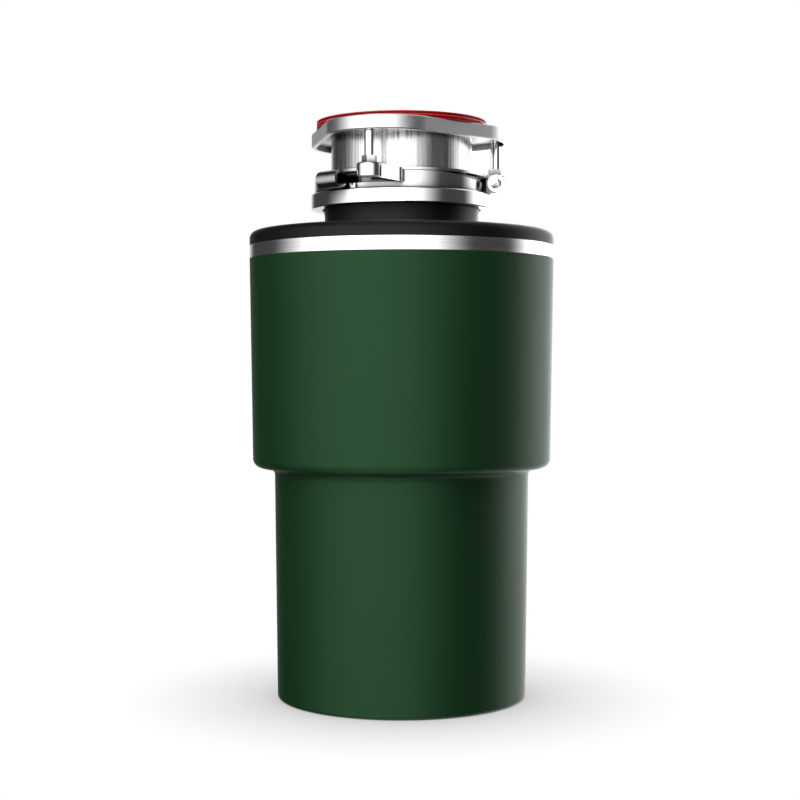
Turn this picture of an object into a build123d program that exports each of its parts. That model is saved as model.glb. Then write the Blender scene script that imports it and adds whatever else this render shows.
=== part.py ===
from build123d import *
from math import cos, radians, sin
import os

# An under-sink food waste disposer: a stepped shell round a motor and a grinding chamber,
# with a three-screw sink clamp and a twist-lock ring on top.
# Lengths are millimetres and angles degrees. +Z is up, the floor is Z = 0, and the front
# looks along -Y. A bearing is an angle about the axis, counted from +X.

# Clearances
seat_gap = 0.1  # round a piece that is seated in another of the same body
run_gap = 0.05  # round a shaft or a screw that turns
lift_gap = 0.3  # between pieces that slide or turn close past each other
free_gap = 0.4  # between pieces that move freely past each other

# Shell
foot_r = 75.5
lower_flare = 1.9
shoulder_w = 13.1
upper_flare = 2.2
lower_barrel_h = 139.5
upper_barrel_h = 126.5
shell_t = 2.5
foot_round = 2.0

# Base cover and what it carries
base_cover_t = 4.0
base_shelf_t = 2.5
base_shelf_w = 9.0
base_screw_r = 1.75
base_screw_head_r = 3.5
base_screw_head_t = 1.4
base_screw_count = 4
base_sink = 0.8
vent_count = 12
vent_w = 3.5
vent_length = 16.0
vent_circle_r = 50.0
button_r = 5.0
button_collar_w = 1.4
button_collar_t = 2.0
button_travel = 3.0
button_offset = 22.0
protector_w = 30.0
protector_d = 22.0
protector_wall = 3.0
gland_height = 22.0
gland_bore_r = 3.75
gland_thread_r = 7.9
gland_cap_r = 11.0
gland_cap_length = 9.0
gland_nut_t = 5.0

# Trim band and top cover
band_h = 7.8
cover_h = 8.9
cover_t = 2.5
cover_round = 4.5
cover_step_w = 3.3
cover_step_h = 1.0
cover_lap = 2.0
cover_skirt_h = 15.0

# Rubber neck and hopper
neck_wall_t = 4.3
neck_waist = 0.8
neck_h = 12.3
rubber_web_t = 1.4
rubber_top_t = 2.0
rubber_rim_w = 1.8
collar_lap = 0.4
hopper_t = 1.8
hopper_lip_w = 5.0
hopper_lip_t = 1.5
chamber_inset = 9.8
dome_h = 26.0
dome_round = 14.0
dome_neck_round = 6.0
hopper_flange_t = 2.0

# Drain bowl and its joint with the hopper
bowl_plinth_h = 8.0
bowl_floor_t = 4.0
bowl_inset = 0.2
bowl_wall_t = 3.5
bowl_foot_t = 4.0
chamber_jacket = 10.0
bowl_rim_t = 4.0
bowl_seal_t = 1.5
bowl_seal_w = 6.0
band_t = 1.2
band_grip = 3.5
outlet_bore_r = 15.5
outlet_wall_t = 3.5
outlet_step = 1.5
outlet_reach = 27.0
grommet_t = 3.5
grommet_lap = 3.0
turret_foot_w = 10.9
turret_top_w = 5.9
turret_h = 22.0
liner_t = 6.0

# Grinding set
shredder_t = 4.0
shredder_h = 26.0
notch_count = 24
notch_w = 6.0
notch_depth = 2.2
notch_h = 14.0
table_gap = 0.6
table_lift = 2.0
table_t = 3.0
table_hub_r = 16.0
table_hub_h = 8.0
table_hole_r = 3.0
table_hole_count = 10
table_hole_inset = 9.5
impeller_inset = 27.5
impeller_t = 5.0
impeller_pivot_r = 10.0
impeller_nose_r = 7.0
impeller_reach = 13.0
hammer_h = 9.0
hammer_t = 6.0
pin_r = 4.5
pin_tail_r = 3.5
pin_head_r = 7.5
pin_head_t = 2.4
nut_flats = 18.0
nut_h = 8.0
shaft_stub = 2.0

# Motor
shaft_r = 7.5
bearing_r = 17.5
bearing_h = 11.0
hub_wall_t = 4.5
hub_lip_t = 3.0
seal_r = 13.0
seal_h = 8.0
bell_depth = 38.0
motor_jacket = 11.0
motor_headroom = 85.5
bell_wall_t = 7.0
bell_floor_t = 4.0
air_gap = 0.5
stator_w = 29.0
end_ring_h = 6.0
end_ring_w = 8.0
slot_count = 12
slot_lip = 3.5
slot_length = 13.5
slot_w = 7.0
coil_h = 14.0
coil_lift = 1.0
bracket_depth = 20.0
bracket_floor_t = 4.0
bracket_window_count = 6
bracket_window_r = 8.0
bolt_r = 2.0
bolt_head_r = 3.8
bolt_head_t = 3.0
bolt_count = 4
bolt_depth = 12.0

# Sink flange, gaskets and backup plate
sleeve_r = 43.0
sleeve_t = 1.5
sleeve_h = 45.5
lip_w = 6.0
lip_t = 1.6
lip_round = 4.5
gasket_w = 2.9
gasket_web_t = 0.9
gasket_t = 1.5
groove_w = 0.7
groove_depth = 0.9
plate_t = 8.4
plate_floor_t = 5.0
plate_rim_t = 3.0
plate_flat_w = 8.1
plate_tip_w = 7.2
plate_edge_round = 0.6
socket_depth = 2.4

# Screws, mounting ring and snap ring
screw_count = 3
screw_offset = 5.8
lug_bearing = -108.2
screw_r = 3.0
screw_slot_w = 0.9
screw_slot_depth = 1.5
locknut_flats = 8.0
locknut_h = 4.0
snap_lift = 2.9
snap_t = 1.5
snap_w = 3.0
snap_depth = 0.6
snap_opening_deg = 14.0
ring_h = 9.9
ring_body_w = 5.6
ring_flange_w = 4.1
ring_flange_t = 3.4
ring_flange_edge_t = 1.6
ring_top_w = 2.0
boss_r = 7.5
boss_h = 8.0
boss_round = 1.5
web_half_w = 6.0
ear_root_deg = 3.0
ear_end_deg = 19.0
ear_w = 7.6
ear_tip_w = 4.4
ear_drop = 3.0
ear_round = 3.0
ledge_w = 1.9
ledge_start_deg = 13.0
ledge_arc_deg = 35.0

# Lock ring
drum_w = 2.1
drum_h = 9.0
drum_flange_t = 3.0
drum_edge_round = 0.8
tier_w = 2.3
tier_h = 3.0
ramp_start_deg = 20.0
ramp_flat_deg = 25.0
ramp_slope_deg = 50.0
ramp_fall = 5.7
ramp_inset = 0.3
tab_t = 2.4
tab_w = 2.0
tube_offset = 4.6
tube_lag_deg = -25.0
tube_r = 5.2
tube_bore_r = 3.25
tube_length = 16.0
tube_rise = 5.4
cradle_w = 9.0
cradle_rise = 2.5
stop_lag_deg = -18.5
stop_arc_deg = 7.0
stop_h = 2.8

# Heights up the axis
shoulder_z = lower_barrel_h
shelf_z = shoulder_z + shell_t
brim_z = shoulder_z + upper_barrel_h
cover_z = brim_z + band_h
cover_top_z = cover_z + cover_h
neck_z = cover_top_z + cover_step_h
drum_z = neck_z + neck_h

floor_z = shelf_z + bowl_plinth_h
floor_top_z = floor_z + bowl_floor_t
outlet_z = floor_top_z + outlet_bore_r
spigot_top_z = outlet_z + outlet_bore_r + outlet_wall_t + outlet_step
rim_z = spigot_top_z + free_gap + band_t + seat_gap + bowl_rim_t
joint_z = rim_z + bowl_seal_t
table_z = rim_z + table_lift
table_top_z = table_z + table_t
lug_z = table_top_z + lift_gap
pin_head_z = lug_z + impeller_t + lift_gap

stator_h = lower_barrel_h - motor_headroom
stator_top_z = floor_z - bell_depth
stator_z = stator_top_z - stator_h
bracket_top_z = stator_z - bracket_depth
bracket_z = bracket_top_z - bracket_floor_t
lower_seat_z = bracket_top_z - bearing_h + 1
lower_hub_z = lower_seat_z - hub_lip_t
upper_seat_z = floor_z - bearing_h - hub_lip_t * 3
turret_z = floor_top_z + turret_h

flange_inner_z = drum_z + drum_flange_t
rubber_z = flange_inner_z + lift_gap
hopper_lip_z = rubber_z + rubber_web_t
rubber_cap_z = hopper_lip_z + hopper_lip_t
throat_z = rubber_cap_z + rubber_top_t
snap_z = throat_z + snap_lift
ring_z = snap_z + snap_t
ring_top_z = ring_z + ring_h
ring_flange_z = ring_top_z - ring_flange_t
boss_z = ring_top_z - boss_h
drum_top_z = drum_z + drum_h
tier_top_z = drum_top_z + tier_h
ramp_top_z = ring_flange_z - free_gap
tab_z = ramp_top_z - tab_t
ledge_top_z = tab_z - lift_gap
tube_z = drum_top_z + tube_rise

flange_top_z = throat_z + sleeve_h
lip_z = flange_top_z - lip_t
upper_gasket_z = lip_z - gasket_web_t
lower_gasket_top_z = upper_gasket_z - seat_gap
plate_top_z = lower_gasket_top_z - gasket_t
plate_z = plate_top_z - plate_t
plate_floor_z = plate_top_z - plate_floor_t

# Radii that follow from the driving ones
base_in_r = foot_r - shell_t
base_screw_circle_r = base_in_r - base_shelf_w / 2
waist_r = foot_r + lower_flare
hip_r = waist_r + shoulder_w
brim_r = hip_r + upper_flare
waist_round = 0.38 * shoulder_w
hip_round = 0.42 * shoulder_w
joint_r = hip_r - shell_t - chamber_jacket
chamber_r = joint_r - chamber_inset
bowl_r = chamber_r - bowl_inset - bowl_wall_t
stator_r = base_in_r - motor_jacket
rotor_r = stator_r - stator_w - air_gap
slot_in_r = rotor_r + air_gap + slot_lip
slot_out_r = slot_in_r + slot_length
turret_foot_r = seal_r + turret_foot_w
turret_top_r = seal_r + turret_top_w
collar_r = sleeve_r + collar_lap
neck_r = collar_r + neck_wall_t
cover_step_r = neck_r + cover_step_w
lip_r = sleeve_r + lip_w
gasket_r = lip_r + gasket_w
ring_bore_r = sleeve_r + seat_gap
ring_body_r = ring_bore_r + ring_body_w
ring_flange_r = ring_body_r + ring_flange_w
ledge_r = ring_body_r + ledge_w
drum_bore_r = ledge_r + free_gap
tier_r = drum_bore_r + tier_w
drum_r = tier_r + drum_w
channel_r = tier_r + free_gap
screw_circle_r = channel_r + screw_offset
tube_circle_r = drum_r + tube_offset
plate_flat_r = sleeve_r + plate_flat_w
plate_tip_r = screw_circle_r + plate_tip_w
neck_bore_r = collar_r + seat_gap
cover_hole_r = neck_r - cover_lap
hopper_lip_r = collar_r + hopper_lip_w
rubber_rim_r = hopper_lip_r + seat_gap + rubber_rim_w
throat_r = sleeve_r - sleeve_t
guard_r = throat_r - free_gap
guard_seat_w = 3.0
neck_hole_r = neck_r + 2 * free_gap
bowl_out_r = bowl_r + bowl_wall_t
bowl_foot_r = hip_r - hip_round - seat_gap
shredder_r = chamber_r - seat_gap
shredder_in_r = shredder_r - shredder_t
table_r = shredder_in_r - table_gap
impeller_circle_r = table_r - impeller_inset
outlet_r = outlet_bore_r + outlet_wall_t
outlet_root_r = outlet_r + outlet_step
hub_r = bearing_r + hub_wall_t
bell_in_r = stator_r - bell_wall_t
bolt_circle_r = stator_r - bell_wall_t / 2
plate_bore_r = sleeve_r + free_gap
screw_hole_r = screw_r + run_gap

lug_bearings = [lug_bearing + 360 / screw_count * lug for lug in range(screw_count)]
back_bearing = 90


def on_circle(radius, bearing):
    """Plan point at a radius and a bearing."""
    return (radius * cos(radians(bearing)), radius * sin(radians(bearing)))


def upright(bearing):
    """Plane through the axis, with its X outwards at the bearing and its Y up."""
    outward = Vector(*on_circle(1, bearing), 0)
    return Plane(origin=(0, 0, 0), x_dir=outward, z_dir=outward.cross(Vector(0, 0, 1)))


def across(bearing, radius, height):
    """Plane square to an upright one at a point, facing along growing bearings."""
    outward = Vector(*on_circle(1, bearing), 0)
    return Plane(
        origin=(*on_circle(radius, bearing), height),
        x_dir=outward,
        z_dir=Vector(0, 0, 1).cross(outward),
    )


def ring_section(inner_r, outer_r, bottom, top, mode=Mode.ADD):
    """Rectangle of a turned ring, drawn in the open upright sketch."""
    with Locations(((inner_r + outer_r) / 2, (bottom + top) / 2)):
        Rectangle(outer_r - inner_r, top - bottom, mode=mode)


def gasket_groove(height):
    """Groove round a gasket's edge, cut from the open upright sketch."""
    low = height - groove_w / 2
    ring_section(gasket_r - groove_depth, gasket_r + groove_depth, low, low + groove_w, Mode.SUBTRACT)


def upper_barrel_r(height):
    """Outside radius of the tapered upper barrel at a height."""
    return hip_r + (brim_r - hip_r) * (height - shoulder_z) / upper_barrel_h


def lower_barrel_r(height):
    """Outside radius of the tapered lower barrel at a height."""
    return foot_r + (waist_r - foot_r) * height / lower_barrel_h


# Stepped shell: two tapered barrels joined by a shoulder, with a shelf above the base cover
outlet_hole_r = outlet_root_r + grommet_t + 2 * seat_gap
with BuildPart() as body_shell:
    with BuildSketch(Plane.XZ):
        with BuildLine():
            FilletPolyline(
                (foot_r, 0),
                (waist_r, shoulder_z),
                (hip_r, shoulder_z),
                (brim_r, brim_z),
                (brim_r - shell_t, brim_z),
                (hip_r - shell_t, shelf_z),
                (waist_r - shell_t, shelf_z),
                (base_in_r, 0),
                radius=[foot_round, waist_round, hip_round, 0, 0, hip_round - shell_t, 0, 0],
                close=True,
            )
        make_face()
        ring_section(
            base_in_r - base_shelf_w, base_in_r + shell_t / 2, base_cover_t, base_cover_t + base_shelf_t
        )
    revolve(axis=Axis.Z)
    with BuildSketch(Plane.XY.offset(base_cover_t)):
        with PolarLocations(base_screw_circle_r, base_screw_count, start_angle=45):
            Circle(base_screw_r + seat_gap)
    extrude(amount=base_shelf_t, mode=Mode.SUBTRACT)
    with BuildSketch(Plane.XZ):
        with Locations((0, outlet_z)):
            Circle(outlet_hole_r)
        with Locations((0, gland_height)):
            Circle(gland_thread_r + seat_gap)
    extrude(amount=-brim_r, mode=Mode.SUBTRACT)

# Base cover: a disc flush with the foot, with radial vents, sunk screw seats and the button's hole
with BuildPart() as base_cover:
    with BuildSketch(Plane.XY):
        Circle(base_in_r - seat_gap)
        with PolarLocations(vent_circle_r, vent_count):
            SlotOverall(vent_length, vent_w, mode=Mode.SUBTRACT)
        with PolarLocations(base_screw_circle_r, base_screw_count, start_angle=45):
            Circle(base_screw_r + seat_gap, mode=Mode.SUBTRACT)
        with Locations((0, -button_offset)):
            Circle(button_r + free_gap, mode=Mode.SUBTRACT)
    extrude(amount=base_cover_t)
    with BuildSketch(Plane.XY):
        with PolarLocations(base_screw_circle_r, base_screw_count, start_angle=45):
            Circle(base_screw_head_r + seat_gap)
    extrude(amount=base_sink + base_screw_head_t, mode=Mode.SUBTRACT)

# Base screws: pan heads under the cover, shanks up into the shell's shelf
with BuildPart() as base_screws:
    with BuildSketch(Plane.XY.offset(base_sink)):
        with PolarLocations(base_screw_circle_r, base_screw_count, start_angle=45):
            Circle(base_screw_head_r)
    extrude(amount=base_screw_head_t)
    fillet(edges().group_by(Axis.Z)[0], base_screw_head_t / 2)
    with BuildSketch(Plane.XY.offset(base_sink + base_screw_head_t)):
        with PolarLocations(base_screw_circle_r, base_screw_count, start_angle=45):
            Circle(base_screw_r)
    extrude(amount=base_cover_t + base_shelf_t - base_sink - base_screw_head_t)

# Overload protector: a moulded block on the base cover, with a pocket for the button
pocket_r = button_r + button_collar_w + free_gap
pocket_h = button_collar_t + button_travel + free_gap
with BuildPart() as overload_protector:
    with BuildSketch(Plane.XY.offset(base_cover_t)):
        with Locations((0, -button_offset)):
            RectangleRounded(protector_w, protector_d, protector_wall)
    extrude(amount=pocket_h + protector_wall)
    with BuildSketch(Plane.XY.offset(base_cover_t)):
        with Locations((0, -button_offset)):
            Circle(pocket_r)
    extrude(amount=pocket_h, mode=Mode.SUBTRACT)

# Reset button: a plunger through the base cover, with a collar that keeps it in its pocket
with BuildPart() as reset_button:
    with BuildSketch(Plane.XY.offset(base_sink)):
        with Locations((0, -button_offset)):
            Circle(button_r)
    extrude(amount=base_cover_t - base_sink)
    fillet(edges().group_by(Axis.Z)[0], base_sink)
    with BuildSketch(Plane.XY.offset(base_cover_t)):
        with Locations((0, -button_offset)):
            Circle(button_r + button_collar_w)
    extrude(amount=button_collar_t)

# Cable gland: a threaded sleeve through the back of the lower barrel, with a domed cap and a nut
gland_face = lower_barrel_r(gland_height + gland_cap_r) + seat_gap
gland_inner_r = lower_barrel_r(gland_height - gland_cap_r) - shell_t - seat_gap
gland_inner_face = (gland_inner_r**2 - gland_cap_r**2) ** 0.5 - gland_nut_t
with BuildPart() as cable_gland:
    with BuildSketch(Plane.XZ.offset(-gland_inner_face)):
        with Locations((0, gland_height)):
            RegularPolygon(gland_cap_r, 6)
    extrude(amount=-gland_nut_t)
    with BuildSketch(Plane.XZ.offset(-gland_inner_face)):
        with Locations((0, gland_height)):
            Circle(gland_thread_r)
    extrude(amount=gland_inner_face - gland_face)
    with BuildSketch(Plane.XZ.offset(-gland_face)):
        with Locations((0, gland_height)):
            Circle(gland_cap_r)
    extrude(amount=-gland_cap_length)
    fillet(faces().sort_by(Axis.Y)[-1].edges(), gland_cap_length / 3)
    with BuildSketch(Plane.XZ.offset(-gland_inner_face)):
        with Locations((0, gland_height)):
            Circle(gland_bore_r)
    extrude(amount=gland_inner_face - gland_face - gland_cap_length, mode=Mode.SUBTRACT)

# Trim band: a flush metal hoop on the shell's rim
with BuildPart() as trim_band:
    with BuildSketch(Plane.XZ):
        ring_section(brim_r - shell_t, brim_r, brim_z, cover_z)
    revolve(axis=Axis.Z)

# Top cover: a rounded lid with a step round the neck and a skirt inside the band and the shell
skirt_z = cover_z - cover_skirt_h
skirt_r = upper_barrel_r(skirt_z) - shell_t - seat_gap
with BuildPart() as top_cover:
    with BuildSketch(Plane.XZ):
        with BuildLine():
            FilletPolyline(
                (cover_hole_r, cover_top_z - cover_t),
                (cover_hole_r, neck_z),
                (cover_step_r, neck_z),
                (cover_step_r, cover_top_z),
                (brim_r, cover_top_z),
                (brim_r, cover_z),
                (skirt_r, cover_z),
                (skirt_r, skirt_z),
                (skirt_r - cover_t, skirt_z),
                (skirt_r - cover_t, cover_top_z - cover_t),
                radius=[0, 0, cover_step_h / 2, 0, cover_round, 0, 0, 0, 0, cover_t],
                close=True,
            )
        make_face()
    revolve(axis=Axis.Z)

# Rubber neck: a waisted sleeve on the top cover, whose upper rim wraps the hopper's lip
with BuildPart() as neck_mount:
    with BuildSketch(Plane.XZ):
        with BuildLine():
            ThreePointArc(
                (neck_r, neck_z),
                (neck_r - neck_waist, neck_z + neck_h / 2),
                (neck_r, drum_z),
            )
            Polyline(
                (neck_r, drum_z),
                (neck_r, rubber_z),
                (rubber_rim_r, rubber_z),
                (rubber_rim_r, throat_z),
                (guard_r - guard_seat_w, throat_z),
                (guard_r - guard_seat_w, rubber_cap_z),
                (hopper_lip_r + seat_gap, rubber_cap_z),
                (hopper_lip_r + seat_gap, hopper_lip_z),
                (neck_bore_r, hopper_lip_z),
                (neck_bore_r, neck_z),
                (neck_r, neck_z),
            )
        make_face()
    revolve(axis=Axis.Z)

# Hopper: flange on the drain bowl, chamber wall, dome, inlet collar and rolled lip
chamber_out_r = chamber_r + hopper_t
collar_in_r = collar_r - hopper_t
dome_top_z = cover_top_z - cover_t - free_gap
dome_z = dome_top_z - dome_h
with BuildPart() as hopper:
    with BuildSketch(Plane.XZ):
        with BuildLine():
            FilletPolyline(
                (chamber_r, joint_z),
                (joint_r, joint_z),
                (joint_r, joint_z + hopper_flange_t),
                (chamber_out_r, joint_z + hopper_flange_t),
                (chamber_out_r, dome_z),
                (collar_r, dome_top_z),
                (collar_r, hopper_lip_z),
                (hopper_lip_r, hopper_lip_z),
                (hopper_lip_r, rubber_cap_z),
                (collar_in_r, rubber_cap_z),
                (collar_in_r, dome_top_z - hopper_t / 2),
                (chamber_r, dome_z - hopper_t / 2),
                radius=[
                    0, 0, 0, 0,
                    dome_round, dome_neck_round, 0, 0, 0, hopper_lip_t / 2,
                    dome_neck_round + hopper_t, dome_round - hopper_t,
                ],
                close=True,
            )
        make_face()
    revolve(axis=Axis.Z)

# Shredder ring: stands on the bowl's rim inside the hopper, notched along its lower inner edge
with BuildPart() as shredder_ring:
    with BuildSketch(Plane.XZ):
        ring_section(shredder_in_r, shredder_r, rim_z, rim_z + shredder_h)
    revolve(axis=Axis.Z)
    with BuildSketch(Plane.XY.offset(rim_z)):
        with PolarLocations(shredder_in_r, notch_count):
            Rectangle(2 * notch_depth, notch_w)
    extrude(amount=notch_h, mode=Mode.SUBTRACT)

# Drain bowl: a pan with a foot on the shell's shelf and a rim under the hopper, bored for the outlet
with BuildPart() as drain_bowl:
    with BuildSketch(Plane.XZ):
        Polygon(
            (seal_r + seat_gap, floor_z),
            (stator_r + seat_gap, floor_z),
            (stator_r + seat_gap, shelf_z),
            (bowl_foot_r, shelf_z),
            (bowl_foot_r, shelf_z + bowl_foot_t),
            (bowl_out_r, shelf_z + bowl_foot_t),
            (bowl_out_r, rim_z - bowl_rim_t),
            (joint_r, rim_z - bowl_rim_t),
            (joint_r, rim_z),
            (bowl_r, rim_z),
            (bowl_r, floor_top_z),
            (seal_r + seat_gap, floor_top_z),
            align=None,
        )
    revolve(axis=Axis.Z)
    with BuildSketch(Plane.XZ):
        with Locations((0, outlet_z)):
            Circle(outlet_bore_r)
    extrude(amount=-joint_r, mode=Mode.SUBTRACT)

# Drain spigot: a shouldered tube whose inner end is saddled on the bowl's wall
grommet_face = upper_barrel_r(outlet_z) + grommet_lap
outlet_shoulder = grommet_face + outlet_step
outlet_end = grommet_face + outlet_reach - grommet_lap
with BuildPart() as drain_spigot:
    with BuildSketch(Plane.XZ):
        with Locations((0, outlet_z)):
            Circle(outlet_root_r)
    extrude(amount=-outlet_shoulder)
    with BuildSketch(Plane.XZ):
        with Locations((0, outlet_z)):
            Circle(outlet_r)
    extrude(amount=-outlet_end)
    with BuildSketch(Plane.XZ):
        with Locations((0, outlet_z)):
            Circle(outlet_bore_r)
    extrude(amount=-outlet_end, mode=Mode.SUBTRACT)
    fillet(edges().filter_by(GeomType.CIRCLE).sort_by(Axis.Y)[-2:], outlet_wall_t / 4)
    with BuildSketch(Plane.XY.offset(shelf_z)):
        Circle(bowl_out_r + seat_gap)
    extrude(amount=rim_z - shelf_z, mode=Mode.SUBTRACT)

# Seal turret: a tapered ring on the bowl's floor that holds the shaft seal above the water
with BuildPart() as seal_turret:
    with BuildSketch(Plane.XZ):
        Polygon(
            (seal_r + seat_gap, floor_top_z),
            (turret_foot_r, floor_top_z),
            (turret_top_r, turret_z),
            (seal_r + seat_gap, turret_z),
            align=None,
        )
    revolve(axis=Axis.Z)

# Motor bell: the motor's upper end frame under the bowl, with the upper bearing's hub
bell_floor_z = floor_z - bell_floor_t
with BuildPart() as motor_bell:
    with BuildSketch(Plane.XZ):
        Polygon(
            (bearing_r + seat_gap, upper_seat_z),
            (hub_r, upper_seat_z),
            (hub_r, bell_floor_z),
            (bell_in_r, bell_floor_z),
            (bell_in_r, stator_top_z),
            (stator_r, stator_top_z),
            (stator_r, floor_z),
            (seal_r + seat_gap, floor_z),
            (seal_r + seat_gap, upper_seat_z + bearing_h),
            (bearing_r + seat_gap, upper_seat_z + bearing_h),
            align=None,
        )
    revolve(axis=Axis.Z)
    with BuildSketch(Plane.XY.offset(stator_top_z)):
        with PolarLocations(bolt_circle_r, bolt_count):
            Circle(bolt_r + seat_gap)
    extrude(amount=bolt_depth, mode=Mode.SUBTRACT)

# Outlet grommet: a rubber ring round the spigot in the shell's wall
with BuildPart() as outlet_grommet:
    with BuildSketch(Plane.XZ.offset(-grommet_face)):
        with Locations((0, outlet_z)):
            Circle(outlet_root_r + grommet_t + seat_gap)
            Circle(outlet_root_r + seat_gap, mode=Mode.SUBTRACT)
    extrude(amount=shell_t + 2 * grommet_lap)

# Bowl seal and clamp band: they close the joint between bowl and hopper
with BuildPart() as bowl_seal:
    with BuildSketch(Plane.XZ):
        ring_section(joint_r - bowl_seal_w, joint_r, rim_z, joint_z)
    revolve(axis=Axis.Z)

grip_z = rim_z - bowl_rim_t - seat_gap
grip_top_z = joint_z + hopper_flange_t + seat_gap
with BuildPart() as clamp_band:
    with BuildSketch(Plane.XZ):
        ring_section(joint_r + seat_gap, joint_r + seat_gap + band_t, grip_z - band_t, grip_top_z + band_t)
        ring_section(joint_r - band_grip, joint_r + seat_gap + band_t, grip_z - band_t, grip_z)
        ring_section(joint_r - band_grip, joint_r + seat_gap + band_t, grip_top_z, grip_top_z + band_t)
    revolve(axis=Axis.Z)

# Sound liner: a foam jacket on the bowl's foot, open where the spigot passes
liner_in_r = joint_r + seat_gap + band_t + free_gap
with BuildPart() as sound_liner:
    with BuildSketch(Plane.XZ):
        ring_section(liner_in_r, liner_in_r + liner_t, shelf_z + bowl_foot_t, skirt_z - free_gap)
    revolve(axis=Axis.Z)
    with BuildSketch(Plane.XZ):
        with Locations((0, outlet_z)):
            Circle(outlet_hole_r + free_gap)
    extrude(amount=-brim_r, mode=Mode.SUBTRACT)

# Motor shaft: runs from the lower bearing up through the turntable
shaft_z = lower_seat_z - hub_lip_t / 2
shaft_top_z = table_top_z + nut_h + shaft_stub
with BuildPart() as motor_shaft:
    with BuildSketch(Plane.XY.offset(shaft_z)):
        Circle(shaft_r)
    extrude(amount=shaft_top_z - shaft_z)
    chamfer(edges().group_by(Axis.Z)[-1], shaft_stub / 2)

# Bearings and shaft seal: rings round the shaft in their seats
with BuildPart() as upper_bearing:
    with BuildSketch(Plane.XZ):
        ring_section(shaft_r + run_gap, bearing_r, upper_seat_z, upper_seat_z + bearing_h)
    revolve(axis=Axis.Z)

with BuildPart() as lower_bearing:
    with BuildSketch(Plane.XZ):
        ring_section(shaft_r + run_gap, bearing_r, lower_seat_z, lower_seat_z + bearing_h)
    revolve(axis=Axis.Z)

with BuildPart() as shaft_seal:
    with BuildSketch(Plane.XZ):
        ring_section(shaft_r + run_gap, seal_r, turret_z - seal_h, turret_z)
    revolve(axis=Axis.Z)

# Rotor core: the laminated drum with its end rings
with BuildPart() as rotor_core:
    with BuildSketch(Plane.XZ):
        ring_section(shaft_r + seat_gap, rotor_r, stator_z, stator_top_z)
        ring_section(
            rotor_r - end_ring_w, rotor_r - air_gap, stator_z - end_ring_h, stator_top_z + end_ring_h
        )
    revolve(axis=Axis.Z)

# Stator core: a slotted ring between bell and bracket, drilled for the through bolts
slot_circle_r = (slot_in_r + slot_out_r) / 2
with BuildPart() as stator_core:
    with BuildSketch(Plane.XY.offset(stator_z)):
        Circle(stator_r)
        Circle(rotor_r + air_gap, mode=Mode.SUBTRACT)
        with PolarLocations(slot_circle_r, slot_count, start_angle=180 / slot_count):
            Rectangle(slot_length, slot_w, mode=Mode.SUBTRACT)
        with PolarLocations(bolt_circle_r, bolt_count):
            Circle(bolt_r + seat_gap, mode=Mode.SUBTRACT)
    extrude(amount=stator_h)

# Stator winding: bars that fill the slots, joined by a coil ring at each end
with BuildPart() as stator_winding:
    with BuildSketch(Plane.XY.offset(stator_z - 2 * coil_lift)):
        with PolarLocations(slot_circle_r, slot_count, start_angle=180 / slot_count):
            Rectangle(slot_length - 2 * seat_gap, slot_w - 2 * seat_gap)
    extrude(amount=stator_h + 4 * coil_lift)
    with BuildSketch(Plane.XZ):
        with Locations(
            (slot_circle_r, stator_z - coil_lift - coil_h / 2),
            (slot_circle_r, stator_top_z + coil_lift + coil_h / 2),
        ):
            RectangleRounded(slot_length, coil_h, slot_length / 4)
    revolve(axis=Axis.Z)

# Lower bracket: cup under the stator with the lower bearing's hub and air windows
with BuildPart() as lower_bracket:
    with BuildSketch(Plane.XZ):
        Polygon(
            (shaft_r + free_gap, lower_hub_z),
            (hub_r, lower_hub_z),
            (hub_r, bracket_z),
            (stator_r, bracket_z),
            (stator_r, stator_z),
            (bell_in_r, stator_z),
            (bell_in_r, bracket_top_z),
            (bearing_r + seat_gap, bracket_top_z),
            (bearing_r + seat_gap, lower_seat_z),
            (shaft_r + free_gap, lower_seat_z),
            align=None,
        )
    revolve(axis=Axis.Z)
    with BuildSketch(Plane.XY.offset(bracket_z)):
        with PolarLocations((hub_r + bell_in_r) / 2, bracket_window_count):
            Circle(bracket_window_r)
        with PolarLocations(bolt_circle_r, bolt_count):
            Circle(bolt_r + seat_gap)
    extrude(amount=bracket_floor_t + bracket_depth, mode=Mode.SUBTRACT)

# Through bolts: from under the bracket, past the stator, into the bell
with BuildPart() as through_bolts:
    with BuildSketch(Plane.XY.offset(bracket_z - bolt_head_t)):
        with PolarLocations(bolt_circle_r, bolt_count):
            RegularPolygon(bolt_head_r, 6)
    extrude(amount=bolt_head_t)
    with BuildSketch(Plane.XY.offset(bracket_z)):
        with PolarLocations(bolt_circle_r, bolt_count):
            Circle(bolt_r)
    extrude(amount=stator_top_z + bolt_depth - seat_gap - bracket_z)

# Turntable: grinding plate on a hub, with a row of drain holes and seats for the pins
impeller_bearings = [0, 180]
with BuildPart() as turntable:
    with BuildSketch(Plane.XZ):
        ring_section(shaft_r + seat_gap, table_r, table_z, table_top_z)
        ring_section(shaft_r + seat_gap, table_hub_r, table_z - table_hub_h, table_top_z)
    revolve(axis=Axis.Z)
    with BuildSketch(Plane.XY.offset(table_z)):
        with PolarLocations(table_r - table_hole_inset, table_hole_count, start_angle=180 / table_hole_count):
            Circle(table_hole_r)
        with PolarLocations(impeller_circle_r, len(impeller_bearings)):
            Circle(pin_tail_r + seat_gap)
    extrude(amount=table_t, mode=Mode.SUBTRACT)

# Turntable nut: holds the plate on the shaft
with BuildPart() as turntable_nut:
    with BuildSketch(Plane.XY.offset(table_top_z)):
        RegularPolygon(nut_flats / 2, 6, major_radius=False)
        Circle(shaft_r + seat_gap, mode=Mode.SUBTRACT)
    extrude(amount=nut_h)

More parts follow.
